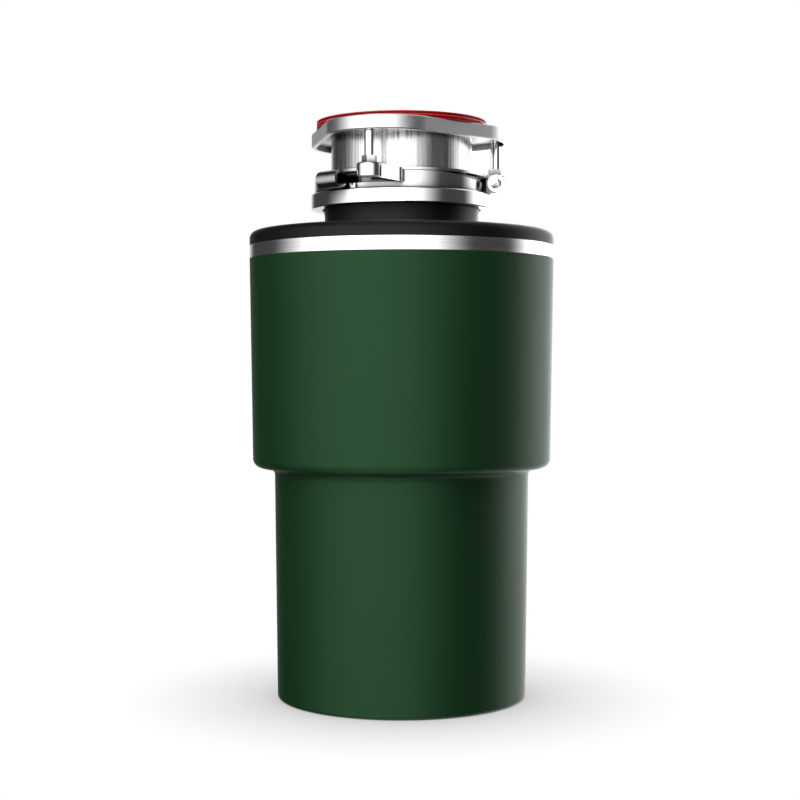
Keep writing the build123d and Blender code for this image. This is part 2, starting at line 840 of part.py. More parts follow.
# Impeller pins: shouldered rivets that the swivelling lugs turn on
with BuildPart() as impeller_pins:
    for pin_base, pin_top, radius in (
        (table_z, table_top_z, pin_tail_r),
        (table_top_z, pin_head_z, pin_r),
        (pin_head_z, pin_head_z + pin_head_t, pin_head_r),
    ):
        with BuildSketch(Plane.XY.offset(pin_base)):
            with PolarLocations(impeller_circle_r, len(impeller_bearings)):
                Circle(radius)
        extrude(amount=pin_top - pin_base)
    fillet(edges().group_by(Axis.Z)[-1], pin_head_t / 2)

# Impellers: flat swivelling lugs, each with an upright hammer at its nose
impellers = []
for bearing in impeller_bearings:
    pivot = Vector(*on_circle(impeller_circle_r, bearing))
    nose = pivot + Vector(*on_circle(impeller_reach, bearing + 90))
    with BuildPart() as impeller:
        with BuildSketch(Plane.XY.offset(lug_z)):
            with Locations(pivot):
                Circle(impeller_pivot_r)
            with Locations(nose):
                Circle(impeller_nose_r)
            make_hull()
            with Locations(pivot):
                Circle(pin_r + run_gap, mode=Mode.SUBTRACT)
        extrude(amount=impeller_t)
        with BuildSketch(Plane.XY.offset(lug_z + impeller_t)):
            with Locations(nose):
                Circle(impeller_nose_r)
            with Locations(pivot):
                Circle(impeller_reach + impeller_nose_r - hammer_t, mode=Mode.SUBTRACT)
        extrude(amount=hammer_h)
    impellers.append(impeller)

# Splash guard: a rubber cup that hangs in the throat by its flange
guard_skirt_r = guard_r - guard_seat_w - free_gap
guard_t = 1.6
guard_depth = 9.0
guard_hole_r = 15.0
guard_slit_count = 8
guard_slit_w = 1.2
guard_floor_z = throat_z - guard_depth
with BuildPart() as splash_guard:
    with BuildSketch(Plane.XZ):
        ring_section(guard_skirt_r - guard_t, guard_r, throat_z, throat_z + guard_t)
        ring_section(guard_skirt_r - guard_t, guard_skirt_r, guard_floor_z, throat_z + guard_t)
    revolve(axis=Axis.Z)

# Guard flaps: leaves that close the cup's floor, apart from slits between them and a centre hole
with BuildPart() as guard_flaps:
    with BuildSketch(Plane.XY.offset(guard_floor_z)):
        Circle(guard_skirt_r - guard_t - seat_gap)
        Circle(guard_hole_r, mode=Mode.SUBTRACT)
        with PolarLocations(guard_skirt_r / 2, guard_slit_count):
            Rectangle(guard_skirt_r, guard_slit_w, mode=Mode.SUBTRACT)
    extrude(amount=guard_t)

# Sink flange: the sleeve through the sink outlet, its rolled lip and the snap ring's groove
with BuildPart() as sink_flange:
    with BuildSketch(Plane.XZ):
        with BuildLine():
            FilletPolyline(
                (throat_r, throat_z),
                (sleeve_r, throat_z),
                (sleeve_r, lip_z),
                (lip_r, lip_z),
                (lip_r, flange_top_z),
                (throat_r, flange_top_z),
                radius=[0, 0, 0, 0, lip_t / 2, lip_round],
                close=True,
            )
        make_face()
        ring_section(
            sleeve_r - snap_depth, sleeve_r + snap_depth, snap_z - seat_gap, ring_z, Mode.SUBTRACT
        )
    revolve(axis=Axis.Z)

# Gaskets: flat rubber rings with a groove round their edges; the upper one holds the flange's lip
with BuildPart() as upper_gasket:
    with BuildSketch(Plane.XZ):
        ring_section(sleeve_r + seat_gap, gasket_r, upper_gasket_z, lip_z)
        ring_section(lip_r + seat_gap, gasket_r, lip_z, flange_top_z - seat_gap)
        gasket_groove((upper_gasket_z + flange_top_z) / 2)
    revolve(axis=Axis.Z)

with BuildPart() as lower_gasket:
    with BuildSketch(Plane.XZ):
        ring_section(plate_bore_r, gasket_r, plate_top_z, lower_gasket_top_z)
        gasket_groove((plate_top_z + lower_gasket_top_z) / 2)
    revolve(axis=Axis.Z)

# Backup plate: three-lobed pan, hollow below, with blind sockets for the screws in its floor
lobe_circle_r = 2 * (plate_tip_r - plate_flat_r)
lobe_r = plate_tip_r - lobe_circle_r
with BuildPart() as backup_plate:
    with BuildSketch(Plane.XY.offset(plate_z)):
        with PolarLocations(lobe_circle_r, screw_count, start_angle=lug_bearing):
            Circle(lobe_r)
        make_hull()
    extrude(amount=plate_t)
    chamfer(edges().filter_by(Plane.XY), plate_edge_round)
    with BuildSketch(Plane.XY.offset(plate_z)):
        with PolarLocations(lobe_circle_r, screw_count, start_angle=lug_bearing):
            Circle(lobe_r - plate_rim_t)
        make_hull()
    extrude(amount=plate_t - plate_floor_t, mode=Mode.SUBTRACT)
    with BuildSketch(Plane.XY.offset(plate_z)):
        Circle(plate_bore_r)
    extrude(amount=plate_t, mode=Mode.SUBTRACT)
    with BuildSketch(Plane.XY.offset(plate_floor_z)):
        with PolarLocations(screw_circle_r, screw_count, start_angle=lug_bearing):
            Circle(screw_hole_r)
    extrude(amount=socket_depth, mode=Mode.SUBTRACT)

# Clamp screws: slotted rods from the bosses up into the plate's sockets
screw_length = plate_floor_z + socket_depth - run_gap - boss_z
clamp_screws = []
for bearing in lug_bearings:
    with BuildPart() as clamp_screw:
        with BuildSketch(Plane.XY.offset(boss_z)):
            with Locations(on_circle(screw_circle_r, bearing)):
                Circle(screw_r)
        extrude(amount=screw_length)
        with BuildSketch(Plane.XY.offset(boss_z)):
            with Locations(on_circle(screw_circle_r, bearing)):
                Rectangle(4 * screw_r, screw_slot_w)
        extrude(amount=screw_slot_depth, mode=Mode.SUBTRACT)
    clamp_screws.append(clamp_screw)

# Lock nuts: one on each boss
with BuildPart() as lock_nuts:
    with BuildSketch(Plane.XY.offset(ring_top_z)):
        with PolarLocations(screw_circle_r, screw_count, start_angle=lug_bearing):
            RegularPolygon(locknut_flats / 2, 6, major_radius=False)
            Circle(screw_hole_r, mode=Mode.SUBTRACT)
    extrude(amount=locknut_h)

# Lug of the mounting ring: boss, web to the ring's flange, and an ear that slopes down sideways
ear_in_r = channel_r + free_gap
ear_low_z = boss_z - ear_drop
ear_corner = on_circle(ear_in_r + ear_tip_w, lug_bearing + ear_end_deg)
with BuildPart() as lug:
    with BuildSketch(Plane.XY.offset(boss_z)):
        with Locations(on_circle(screw_circle_r, lug_bearing)):
            Circle(boss_r)
    extrude(amount=boss_h)
    fillet(edges().filter_by(GeomType.CIRCLE).sort_by(Axis.Z)[-1], boss_round)
    with BuildSketch(upright(lug_bearing)):
        ring_section(ring_body_r, screw_circle_r, ring_flange_z, ring_top_z)
    extrude(amount=web_half_w, both=True)
    with BuildSketch(upright(lug_bearing + ear_root_deg)):
        ring_section(ear_in_r, ear_in_r + ear_w, boss_z, ring_top_z)
    with BuildSketch(upright(lug_bearing + ear_end_deg)):
        ring_section(ear_in_r, ear_in_r + ear_tip_w, ear_low_z, ring_top_z - ear_drop)
    loft(ruled=True)
    fillet(edges().filter_by(Axis.Z).sort_by_distance((*ear_corner, boss_z))[0], ear_round)

# Mounting ring: collar on the sleeve with a sloping flange, ledges for the lock ring's tabs and three lugs
with BuildPart() as mounting_ring:
    with BuildSketch(Plane.XZ):
        ring_section(ring_bore_r, ring_body_r, ring_z, ring_flange_z + ring_flange_edge_t)
        with BuildLine():
            Polyline(
                (ring_bore_r, ring_flange_z),
                (ring_flange_r, ring_flange_z),
                (ring_flange_r, ring_flange_z + ring_flange_edge_t),
                (ring_bore_r + ring_top_w, ring_top_z),
                (ring_bore_r, ring_top_z),
                close=True,
            )
        make_face()
    revolve(axis=Axis.Z)
    for bearing in lug_bearings:
        with BuildSketch(upright(bearing + ledge_start_deg)):
            ring_section((ring_bore_r + ring_body_r) / 2, ledge_r, ring_z, ledge_top_z)
        revolve(axis=Axis.Z, revolution_arc=ledge_arc_deg)
    with PolarLocations(0, screw_count):
        add(lug.part)
    with BuildSketch(Plane.XZ):
        ring_section(ledge_r, channel_r, ring_z - ear_drop, ring_flange_z)
    revolve(axis=Axis.Z, mode=Mode.SUBTRACT)
    with BuildSketch(Plane.XY.offset(boss_z)):
        with PolarLocations(screw_circle_r, screw_count, start_angle=lug_bearing):
            Circle(screw_hole_r)
    extrude(amount=boss_h, mode=Mode.SUBTRACT)

# Snap ring: an open ring in the sleeve's groove, under the mounting ring
with BuildPart() as snap_ring:
    with BuildSketch(upright(back_bearing + snap_opening_deg / 2)):
        ring_section(
            sleeve_r - snap_depth + seat_gap, sleeve_r - snap_depth + seat_gap + snap_w, snap_z, ring_z
        )
    revolve(axis=Axis.Z, revolution_arc=360 - snap_opening_deg)

# Lock ring: a flanged drum with a lower tier on top
with BuildPart() as lock_ring:
    with BuildSketch(Plane.XZ):
        ring_section(neck_hole_r, drum_r, drum_z, flange_inner_z)
        ring_section(drum_bore_r, drum_r, drum_z, drum_top_z)
        ring_section(drum_bore_r, tier_r, drum_z, tier_top_z)
    revolve(axis=Axis.Z)
    fillet(edges().filter_by(GeomType.CIRCLE).sort_by(SortBy.RADIUS)[-2:], drum_edge_round)

# Ramp on the lock ring: a wall that is level over its tab and then slopes down to the cradle
ramp_arc_deg = ramp_flat_deg + ramp_slope_deg
slope_bearing = lug_bearing + ramp_start_deg + ramp_flat_deg + ramp_slope_deg / 2
slope_outward = Vector(*on_circle(1, slope_bearing), 0)
slope_along = Vector(0, 0, 1).cross(slope_outward)
slope_run = 2 * tier_r * sin(radians(ramp_slope_deg / 2))
slope_plane = Plane(
    origin=(*on_circle(tier_r, slope_bearing), ramp_top_z - ramp_fall / 2),
    x_dir=slope_outward,
    z_dir=slope_along * (ramp_fall / slope_run) + Vector(0, 0, 1),
)
with BuildPart() as ramp:
    with BuildSketch(upright(lug_bearing + ramp_start_deg)):
        ring_section(drum_bore_r, tier_r, tier_top_z, ramp_top_z)
    revolve(axis=Axis.Z, revolution_arc=ramp_arc_deg)
    split(bisect_by=slope_plane, keep=Keep.BOTTOM)
    with BuildSketch(upright(lug_bearing + ramp_start_deg)):
        ring_section(drum_bore_r - tab_w, tier_r - ramp_inset, tab_z, ramp_top_z)
    revolve(axis=Axis.Z, revolution_arc=ramp_flat_deg)

# Lock ramps: the three ramps, whose tabs ride over the mounting ring's ledges
with BuildPart() as lock_ramps:
    with PolarLocations(0, screw_count):
        add(ramp.part)

# Cradle on the lock ring: a web on the drum's top that holds a wrench tube from the inside
tube_bearing = lug_bearing + tube_lag_deg
with BuildPart() as cradle:
    with BuildSketch(upright(tube_bearing)):
        ring_section(tier_r + seat_gap, tube_circle_r, drum_top_z, tube_z + cradle_rise)
    extrude(amount=cradle_w / 2, both=True)
    with BuildSketch(across(tube_bearing, tube_circle_r, tube_z)):
        Circle(tube_r)
    extrude(amount=cradle_w, both=True, mode=Mode.SUBTRACT)
    with BuildSketch(Plane.XY.offset(drum_top_z)):
        Circle(tier_r + seat_gap)
    extrude(amount=tube_r + tube_z - drum_top_z, mode=Mode.SUBTRACT)

# Tube cradles: the three cradles, and beside each a stop on the drum
with BuildPart() as tube_cradles:
    with PolarLocations(0, screw_count):
        add(cradle.part)
    for bearing in lug_bearings:
        with BuildSketch(upright(bearing + stop_lag_deg)):
            ring_section(tier_r + seat_gap, drum_r - drum_edge_round, drum_top_z, drum_top_z + stop_h)
        revolve(axis=Axis.Z, revolution_arc=stop_arc_deg)

# Wrench tubes: short tubes in the lock ring's cradles
with BuildPart() as wrench_tubes:
    for bearing in lug_bearings:
        with BuildSketch(across(bearing + tube_lag_deg, tube_circle_r, tube_z)):
            Circle(tube_r)
            Circle(tube_bore_r, mode=Mode.SUBTRACT)
        extrude(amount=tube_length / 2, both=True)

pieces = {
    "body_shell": body_shell,
    "base_cover": base_cover,
    "base_screws": base_screws,
    "overload_protector": overload_protector,
    "reset_button": reset_button,
    "cable_gland": cable_gland,
    "trim_band": trim_band,
    "top_cover": top_cover,
    "neck_mount": neck_mount,
    "hopper": hopper,
    "shredder_ring": shredder_ring,
    "drain_bowl": drain_bowl,
    "drain_spigot": drain_spigot,
    "seal_turret": seal_turret,
    "motor_bell": motor_bell,
    "outlet_grommet": outlet_grommet,
    "bowl_seal": bowl_seal,
    "clamp_band": clamp_band,
    "sound_liner": sound_liner,
    "motor_shaft": motor_shaft,
    "upper_bearing": upper_bearing,
    "lower_bearing": lower_bearing,
    "shaft_seal": shaft_seal,
    "rotor_core": rotor_core,
    "stator_core": stator_core,
    "stator_winding": stator_winding,
    "lower_bracket": lower_bracket,
    "through_bolts": through_bolts,
    "turntable": turntable,
    "turntable_nut": turntable_nut,
    "impeller_pins": impeller_pins,
    "splash_guard": splash_guard,
    "guard_flaps": guard_flaps,
    "sink_flange": sink_flange,
    "upper_gasket": upper_gasket,
    "lower_gasket": lower_gasket,
    "backup_plate": backup_plate,
    "lock_nuts": lock_nuts,
    "mounting_ring": mounting_ring,
    "snap_ring": snap_ring,
    "lock_ring": lock_ring,
    "lock_ramps": lock_ramps,
    "tube_cradles": tube_cradles,
    "wrench_tubes": wrench_tubes,
}
for number, impeller in enumerate(impellers, start=1):
    pieces[f"impeller_{number}"] = impeller
for number, clamp_screw in enumerate(clamp_screws, start=1):
    pieces[f"clamp_screw_{number}"] = clamp_screw

os.makedirs("parts", exist_ok=True)
for name, piece in pieces.items():
    piece.part.label = name
    export_step(piece.part, f"parts/{name}.step")
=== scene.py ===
import logging
import math
from abc import ABC, abstractmethod
from dataclasses import dataclass, field
from enum import Enum
from typing import Union

import bpy
import numpy as np
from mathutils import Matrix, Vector


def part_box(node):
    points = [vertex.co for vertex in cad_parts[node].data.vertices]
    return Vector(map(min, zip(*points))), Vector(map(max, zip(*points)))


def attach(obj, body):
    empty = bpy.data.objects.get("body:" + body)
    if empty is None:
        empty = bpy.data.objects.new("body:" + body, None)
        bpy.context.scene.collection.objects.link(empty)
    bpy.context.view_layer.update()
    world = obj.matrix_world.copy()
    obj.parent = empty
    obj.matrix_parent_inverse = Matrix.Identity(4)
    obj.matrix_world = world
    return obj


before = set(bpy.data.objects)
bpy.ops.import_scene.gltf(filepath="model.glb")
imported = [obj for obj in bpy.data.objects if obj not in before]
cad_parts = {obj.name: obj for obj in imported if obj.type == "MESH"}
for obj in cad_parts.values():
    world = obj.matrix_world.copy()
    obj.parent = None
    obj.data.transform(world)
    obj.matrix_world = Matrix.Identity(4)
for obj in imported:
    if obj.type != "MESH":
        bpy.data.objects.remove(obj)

LOG = logging.getLogger("disposer")
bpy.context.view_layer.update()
PICTURE_WIDTH = 800
TURN = 2 * math.pi
LIP_DEPTH = 0.002
LIP_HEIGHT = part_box("sink_flange")[1][2] - LIP_DEPTH
GROOVE_HEIGHT = (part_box("lower_gasket")[0][2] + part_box("lower_gasket")[1][2]) / 2

Pair = tuple[float, float]
Colour = tuple[float, float, float]
Number = Union["Signal", float]
Span = Union[np.ndarray, float]
Inputs = dict[Union[int, str], object]


class Signal:
    """A socket that carries a number; arithmetic on it adds Math nodes to its graph."""

    def __init__(self, graph: "Graph", socket: bpy.types.NodeSocket) -> None:
        """Wrap an output socket of a graph."""
        self.graph = graph
        self.socket = socket

    def maths(self, operation: str, first: Number, second: Number) -> "Signal":
        """Return what a Math node with this operation makes of two numbers."""
        node = self.graph.node("ShaderNodeMath", {"operation": operation}, {0: first, 1: second})
        return Signal(self.graph, node.outputs[0])

    def __add__(self, other: Number) -> "Signal":
        """Return this number plus another."""
        return self.maths("ADD", self, other)

    def __radd__(self, other: Number) -> "Signal":
        """Return another number plus this one."""
        return self.maths("ADD", other, self)

    def __sub__(self, other: Number) -> "Signal":
        """Return this number less another."""
        return self.maths("SUBTRACT", self, other)

    def __rsub__(self, other: Number) -> "Signal":
        """Return another number less this one."""
        return self.maths("SUBTRACT", other, self)

    def __mul__(self, other: Number) -> "Signal":
        """Return this number times another."""
        return self.maths("MULTIPLY", self, other)

    def __rmul__(self, other: Number) -> "Signal":
        """Return another number times this one."""
        return self.maths("MULTIPLY", other, self)

    def __pow__(self, power: Number) -> "Signal":
        """Return this number raised to a power."""
        return self.maths("POWER", self, power)

    def wave(self, length: float) -> "Signal":
        """Return a sine wave along this number, with the length in this number's units."""
        return self.maths("SINE", self * (TURN / length), 0)

    def rising(self, low: float, high: float) -> "Signal":
        """Return a smooth step from 0 to 1.

        Args:
            low: Where the step starts.
            high: Where the step ends.

        Returns:
            The step.
        """
        settings = {"interpolation_type": "SMOOTHSTEP"}
        node = self.graph.node("ShaderNodeMapRange", settings, {0: self, 1: low, 2: high})
        return Signal(self.graph, node.outputs[0])


class Graph:
    """The nodes of one material or world."""

    def __init__(self, owner: Union[bpy.types.Material, bpy.types.World]) -> None:
        """Start with no nodes.

        Args:
            owner: The material or world that the nodes belong to.
        """
        owner.use_nodes = True
        self.owner = owner
        self.tree = owner.node_tree
        self.tree.nodes.clear()

    def node(self, kind: str, settings: dict[str, object], inputs: Inputs) -> bpy.types.Node:
        """Add a node.

        Args:
            kind: The node's type.
            settings: Values of the node's own properties, set first.
            inputs: Values or links of its sockets, by name or number.

        Returns:
            The new node.
        """
        node = self.tree.nodes.new(kind)
        for name, value in settings.items():
            setattr(node, name, value)
        for key, value in inputs.items():
            source = value.socket if isinstance(value, Signal) else value
            if isinstance(source, bpy.types.NodeSocket):
                self.tree.links.new(source, node.inputs[key])
            else:
                node.inputs[key].default_value = source
        return node

    def place(self) -> bpy.types.NodeSocket:
        """Return the object's own coordinates, which are the frame's, in metres."""
        return self.node("ShaderNodeTexCoord", {}, {}).outputs["Object"]

    def axes(self) -> tuple[Signal, Signal, Signal]:
        """Return the three coordinates."""
        parts = self.node("ShaderNodeSeparateXYZ", {}, {0: self.place()})
        return tuple(Signal(self, output) for output in parts.outputs)

    def radius(self) -> Signal:
        """Return the distance from the axis."""
        across, along, _ = self.axes()
        return (across * across + along * along) ** 0.5

    def noise(self, stretch: tuple[float, float, float], detail: float) -> Signal:
        """Add a noise.

        Args:
            stretch: Cycles per metre along X, Y and Z.
            detail: The number of finer octaves.

        Returns:
            The noise, from 0 to 1.
        """
        scaled = self.node("ShaderNodeMapping", {}, {"Vector": self.place(), "Scale": stretch})
        inputs = {"Vector": scaled.outputs[0], "Scale": 1.0, "Detail": detail}
        return Signal(self, self.node("ShaderNodeTexNoise", {}, inputs).outputs[0])

    def speckle(self, scale: float, detail: float) -> Signal:
        """Return a noise from 0 to 1 that is alike in all directions."""
        return self.noise((scale, scale, scale), detail)

    def cells(self, scale: float) -> Signal:
        """Return the distance to the nearest of scattered points, as a share of their spacing."""
        inputs = {"Vector": self.place(), "Scale": scale}
        return Signal(self, self.node("ShaderNodeTexVoronoi", {}, inputs).outputs["Distance"])

    def hidden(self, reach: float) -> Signal:
        """Return the share of a place's surroundings that faces within reach hide, from 0 to 1."""
        around = self.node("ShaderNodeAmbientOcclusion", {"samples": 16}, {"Distance": reach})
        return 1 - Signal(self, around.outputs["AO"])

    def tint(self, factor: Signal, low: Colour, high: Colour) -> bpy.types.NodeSocket:
        """Return a mix of two colours: the low one at a factor of 0, the high one at 1."""
        inputs = {0: factor, 6: (*low, 1.0), 7: (*high, 1.0)}
        return self.node("ShaderNodeMix", {"data_type": "RGBA"}, inputs).outputs[2]

    def turned_normal(self) -> bpy.types.NodeSocket:
        """Return the normal of a piece turned about the axis.

        It is the mesh's own normal, with its level part swung to point from the axis or to it.

        Returns:
            The normal's socket.
        """
        across, along, _ = self.axes()
        smooth = self.node("ShaderNodeNewGeometry", {}, {}).outputs["Normal"]
        parts = self.node("ShaderNodeSeparateXYZ", {}, {0: smooth})
        right, back, up = (Signal(self, output) for output in parts.outputs)
        outward = across.maths("SIGN", right * across + back * along, 0)
        level = (right * right + back * back) ** 0.5
        share = outward * level * self.radius() ** -1
        inputs = {0: share * across, 1: share * along, 2: up}
        return self.node("ShaderNodeCombineXYZ", {}, inputs).outputs[0]

    def relief(self, height: Signal, depth: float, turned: bool = False) -> bpy.types.NodeSocket:
        """Turn a height into a normal.

        Args:
            height: The height, from 0 to 1.
            depth: The depth of the relief, in metres.
            turned: Whether the piece is turned about the axis.

        Returns:
            The normal's socket.
        """
        inputs = {"Height": height, "Distance": depth, "Strength": 1.0}
        if turned:
            inputs["Normal"] = self.turned_normal()
        return self.node("ShaderNodeBump", {}, inputs).outputs[0]

    def close(self, shader: bpy.types.Node) -> bpy.types.Material:
        """Cover the surface with a shader, and return the finished material."""
        self.node("ShaderNodeOutputMaterial", {}, {"Surface": shader.outputs[0]})
        return self.owner

    def principled(self, inputs: Inputs) -> bpy.types.Material:
        """Return the material, finished with a Principled shader of these values and links."""
        return self.close(self.node("ShaderNodeBsdfPrincipled", {}, inputs))


def shaded(colour: Colour, share: float) -> Colour:
    """Return a colour multiplied by a share, no lighter than white."""
    return tuple(min(1.0, part * share) for part in colour)


class Grain(Enum):
    """Which way the marks of a brushed surface run: the stretch is marks per metre along X, Y and Z."""

    ROUND = (6.0, 6.0, 2600.0)
    UPRIGHT = (800.0, 800.0, 12.0)
    FLAT = (900.0, 30.0, 900.0)


@dataclass(frozen=True)
class Finish(ABC):
    """What one kind of surface looks like, and whether what wears it is turned about the axis.

    In every finish a scale counts patches per metre, and a depth or a length is in metres.
    """

    name: str
    colour: Colour
    turned: bool = field(default=False, kw_only=True)

    def graph(self) -> Graph:
        """Return the empty graph of a new material with this finish's name."""
        return Graph(bpy.data.materials.new(self.name))

    @abstractmethod
    def material(self) -> bpy.types.Material:
        """Return a new material with this finish."""


@dataclass(frozen=True)
class Enamel(Finish):
    """Satin paint: a faint mottle and an orange-peel skin, with a sheen of the paint's own hue."""

    sheen: Colour = (1.0, 1.0, 1.0)
    roughness: float = 0.46
    unevenness: float = 0.05
    gloss: float = 0.37
    mottle_scale: float = 14.0
    mottle_share: float = 0.07
    peel_scale: float = 900.0
    peel_depth: float = 0.000004

    def material(self) -> bpy.types.Material:
        """Build the paint's nodes.

        Returns:
            The material.
        """
        graph = self.graph()
        mottle = graph.speckle(self.mottle_scale, detail=3.0)
        skin = graph.speckle(self.peel_scale, detail=1.0)
        dark = shaded(self.colour, 1 - self.mottle_share)
        light = shaded(self.colour, 1 + self.mottle_share)
        return graph.principled({
            "Base Color": graph.tint(mottle, dark, light),
            "Roughness": self.roughness + self.unevenness * (mottle - 0.5),
            "Specular IOR Level": self.gloss,
            "Specular Tint": (*self.sheen, 1.0),
            "Normal": graph.relief(skin, self.peel_depth, self.turned),
        })


@dataclass(frozen=True)
class Moulded(Finish):
    """Moulded plastic: a fine spark-eroded grain and a slightly uneven sheen."""

    roughness: float = 0.42
    gloss: float = 0.3
    flow_scale: float = 22.0
    flow_unevenness: float = 0.06
    grain_scale: float = 2600.0
    grain_depth: float = 0.000012
    grain_unevenness: float = 0.1
    darkest: float = 0.85
    lightest: float = 1.2

    def material(self) -> bpy.types.Material:
        """Build the plastic's nodes.

        Returns:
            The material.
        """
        graph = self.graph()
        flow = graph.speckle(self.flow_scale, detail=2.0)
        grain = graph.speckle(self.grain_scale, detail=2.0)
        dark = shaded(self.colour, self.darkest)
        light = shaded(self.colour, self.lightest)
        uneven = self.grain_unevenness * (grain - 0.5) + self.flow_unevenness * (flow - 0.5)
        return graph.principled({
            "Base Color": graph.tint(flow, dark, light),
            "Roughness": self.roughness + uneven,
            "Specular IOR Level": self.gloss,
            "Normal": graph.relief(grain, self.grain_depth, self.turned),
        })


@dataclass(frozen=True)
class Rubber(Finish):
    """Moulded rubber: matt, with a dusty bloom in soft patches."""

    roughness: float = 0.62
    unevenness: float = 0.12
    gloss: float = 0.3
    bloom: float = 1.5
    bloom_step: Pair = (0.35, 0.75)
    patch_scale: float = 45.0
    grain_scale: float = 3200.0
    grain_depth: float = 0.00001

    def material(self) -> bpy.types.Material:
        """Build the rubber's nodes.

        Returns:
            The material.
        """
        graph = self.graph()
        patches = graph.speckle(self.patch_scale, detail=4.0)
        grain = graph.speckle(self.grain_scale, detail=2.0)
        dusty = patches.rising(*self.bloom_step)
        return graph.principled({
            "Base Color": graph.tint(dusty, self.colour, shaded(self.colour, self.bloom)),
            "Roughness": self.roughness + self.unevenness * (patches - 0.5),
            "Specular IOR Level": self.gloss,
            "Normal": graph.relief(grain, self.grain_depth, self.turned),
        })


@dataclass(frozen=True)
class Ribbed(Finish):
    """Glossy moulded rubber with narrow grooves at an even spacing up the piece, painted dark as shade.
    """

    groove_height: float = 0.0
    rib: float = 0.00205
    rib_depth: float = 0.0003
    roughness: float = 0.34
    groove_roughness: float = 0.2
    grain_scale: float = 2400.0
    grain_unevenness: float = 0.08
    grain_share: float = 0.02
    gloss: float = 0.25
    # Painted shade: the share of the colour left in the grooves.
    groove_shade: float = 0.06
    groove_step: Pair = (0.04, 0.3)

    def material(self) -> bpy.types.Material:
        """Build the rubber's nodes.

        Returns:
            The material.
        """
        graph = self.graph()
        height = graph.axes()[2]
        grain = graph.speckle(self.grain_scale, detail=2.0)
        crest = 0.5 - 0.5 * (height - self.groove_height + self.rib / 4).wave(self.rib)
        # Painted shade: the grooves' colour is darkened to near black.
        dark = shaded(self.colour, self.groove_shade)
        uneven = self.groove_roughness * (1 - crest) + self.grain_unevenness * (grain - 0.5)
        return graph.principled({
            "Base Color": graph.tint(crest.rising(*self.groove_step), dark, self.colour),
            "Roughness": self.roughness + uneven,
            "Specular IOR Level": self.gloss,
            "Normal": graph.relief(crest + self.grain_share * grain, self.rib_depth),
        })


@dataclass(frozen=True)
class Brushed(Finish):
    """Brushed metal: long fine marks that change its colour, gloss and relief."""

    grain: Grain = Grain.ROUND
    roughness: float = 0.24
    marks: float = 0.16
    mark_depth: float = 0.000004
    mark_step: Pair = (0.25, 0.75)
    contrast: float = 0.1
    haze_scale: float = 30.0
    haze: float = 0.06

    def marking(self, graph: Graph) -> Signal:
        """Return the depth of the marks, from 0 to 1."""
        return graph.noise(self.grain.value, detail=3.0)

    def material(self) -> bpy.types.Material:
        """Build the metal's nodes.

        Returns:
            The material.
        """
        graph = self.graph()
        marks = self.marking(graph)
        haze = graph.speckle(self.haze_scale, detail=2.0)
        dark = shaded(self.colour, 1 - self.contrast)
        light = shaded(self.colour, 1 + self.contrast)
        return graph.principled({
            "Base Color": graph.tint(marks.rising(*self.mark_step), dark, light),
            "Metallic": 1.0,
            "Roughness": self.roughness + self.marks * (marks - 0.5) + self.haze * (haze - 0.5),
            "Normal": graph.relief(marks, self.mark_depth, self.turned),
        })


@dataclass(frozen=True)
class Spun(Brushed):
    """Brushed metal whose marks run upright below a height, and round the axis above it."""

    turn_height: float = 0.0
    turn_blend: float = 0.001
    fine_ring: float = 0.00037
    fine_share: float = 0.25
    coarse_ring: float = 0.00083
    coarse_share: float = 0.2

    def marking(self, graph: Graph) -> Signal:
        """Return the depth of the marks: two waves of the radius above the height, a noise below it.

        Args:
            graph: The graph of the material.

        Returns:
            The depth, from 0 to 1.
        """
        height = graph.axes()[2]
        radius = graph.radius()
        fine = self.fine_share * radius.wave(self.fine_ring)
        coarse = self.coarse_share * radius.wave(self.coarse_ring)
        rings = 0.5 + fine + coarse
        upright = graph.noise(self.grain.value, detail=3.0)
        above = height.rising(self.turn_height - self.turn_blend, self.turn_height)
        return upright + (rings - upright) * above


@dataclass(frozen=True)
class Cast(Finish):
    """Cast metal: a wavy skin with pores, polished or as it left the mould, with painted shade that
    darkens it in corners and bores.
    """

    roughness: float = 0.2
    swell_scale: float = 130.0
    swell_depth: float = 0.000012
    swell_unevenness: float = 0.14
    pore_scale: float = 2400.0
    pore_step: Pair = (0.05, 0.3)
    pore_share: float = 0.3
    pore_roughness: float = 0.1
    # Painted shade: the reach within which nearby faces darken the colour, and the power that deepens
    # it.
    shade_reach: float = 0.008
    shade_power: float = 2.0
    darkest: float = 0.05

    def material(self) -> bpy.types.Material:
        """Build the casting's nodes.

        Returns:
            The material.
        """
        graph = self.graph()
        swell = graph.speckle(self.swell_scale, detail=3.0)
        skin = graph.cells(self.pore_scale).rising(*self.pore_step)
        # Painted shade: the colour darkens where nearby faces hide the surroundings; the pores are the
        # casting's own.
        unshaded_share = 1 - graph.hidden(self.shade_reach)
        pores_and_shade = (1 - self.pore_share + self.pore_share * skin) * unshaded_share ** self.shade_power
        uneven = self.swell_unevenness * (swell - 0.5) + self.pore_roughness * (1 - skin)
        return graph.principled({
            "Base Color": graph.tint(pores_and_shade, shaded(self.colour, self.darkest), self.colour),
            "Metallic": 1.0,
            "Roughness": self.roughness + uneven,
            "Normal": graph.relief(swell, self.swell_depth),
        })


@dataclass(frozen=True)
class Laminated(Finish):
    """Stacked steel sheets: thin dark joints at an even spacing up the stack."""

    sheet: float = 0.00065
    joint_depth: float = 0.00005
    joint_colour: float = 0.45
    metal: float = 0.9
    roughness: float = 0.45
    rust_scale: float = 60.0
    rust: float = 0.2

    def material(self) -> bpy.types.Material:
        """Build the stack's nodes.

        Returns:
            The material.
        """
        graph = self.graph()
        height = graph.axes()[2]
        sheets = 0.5 + 0.5 * height.wave(self.sheet)
        rust = graph.speckle(self.rust_scale, detail=4.0)
        return graph.principled({
            "Base Color": graph.tint(sheets, shaded(self.colour, self.joint_colour), self.colour),
            "Metallic": self.metal,
            "Roughness": self.roughness + self.rust * (rust - 0.5),
            "Normal": graph.relief(sheets, self.joint_depth),
        })


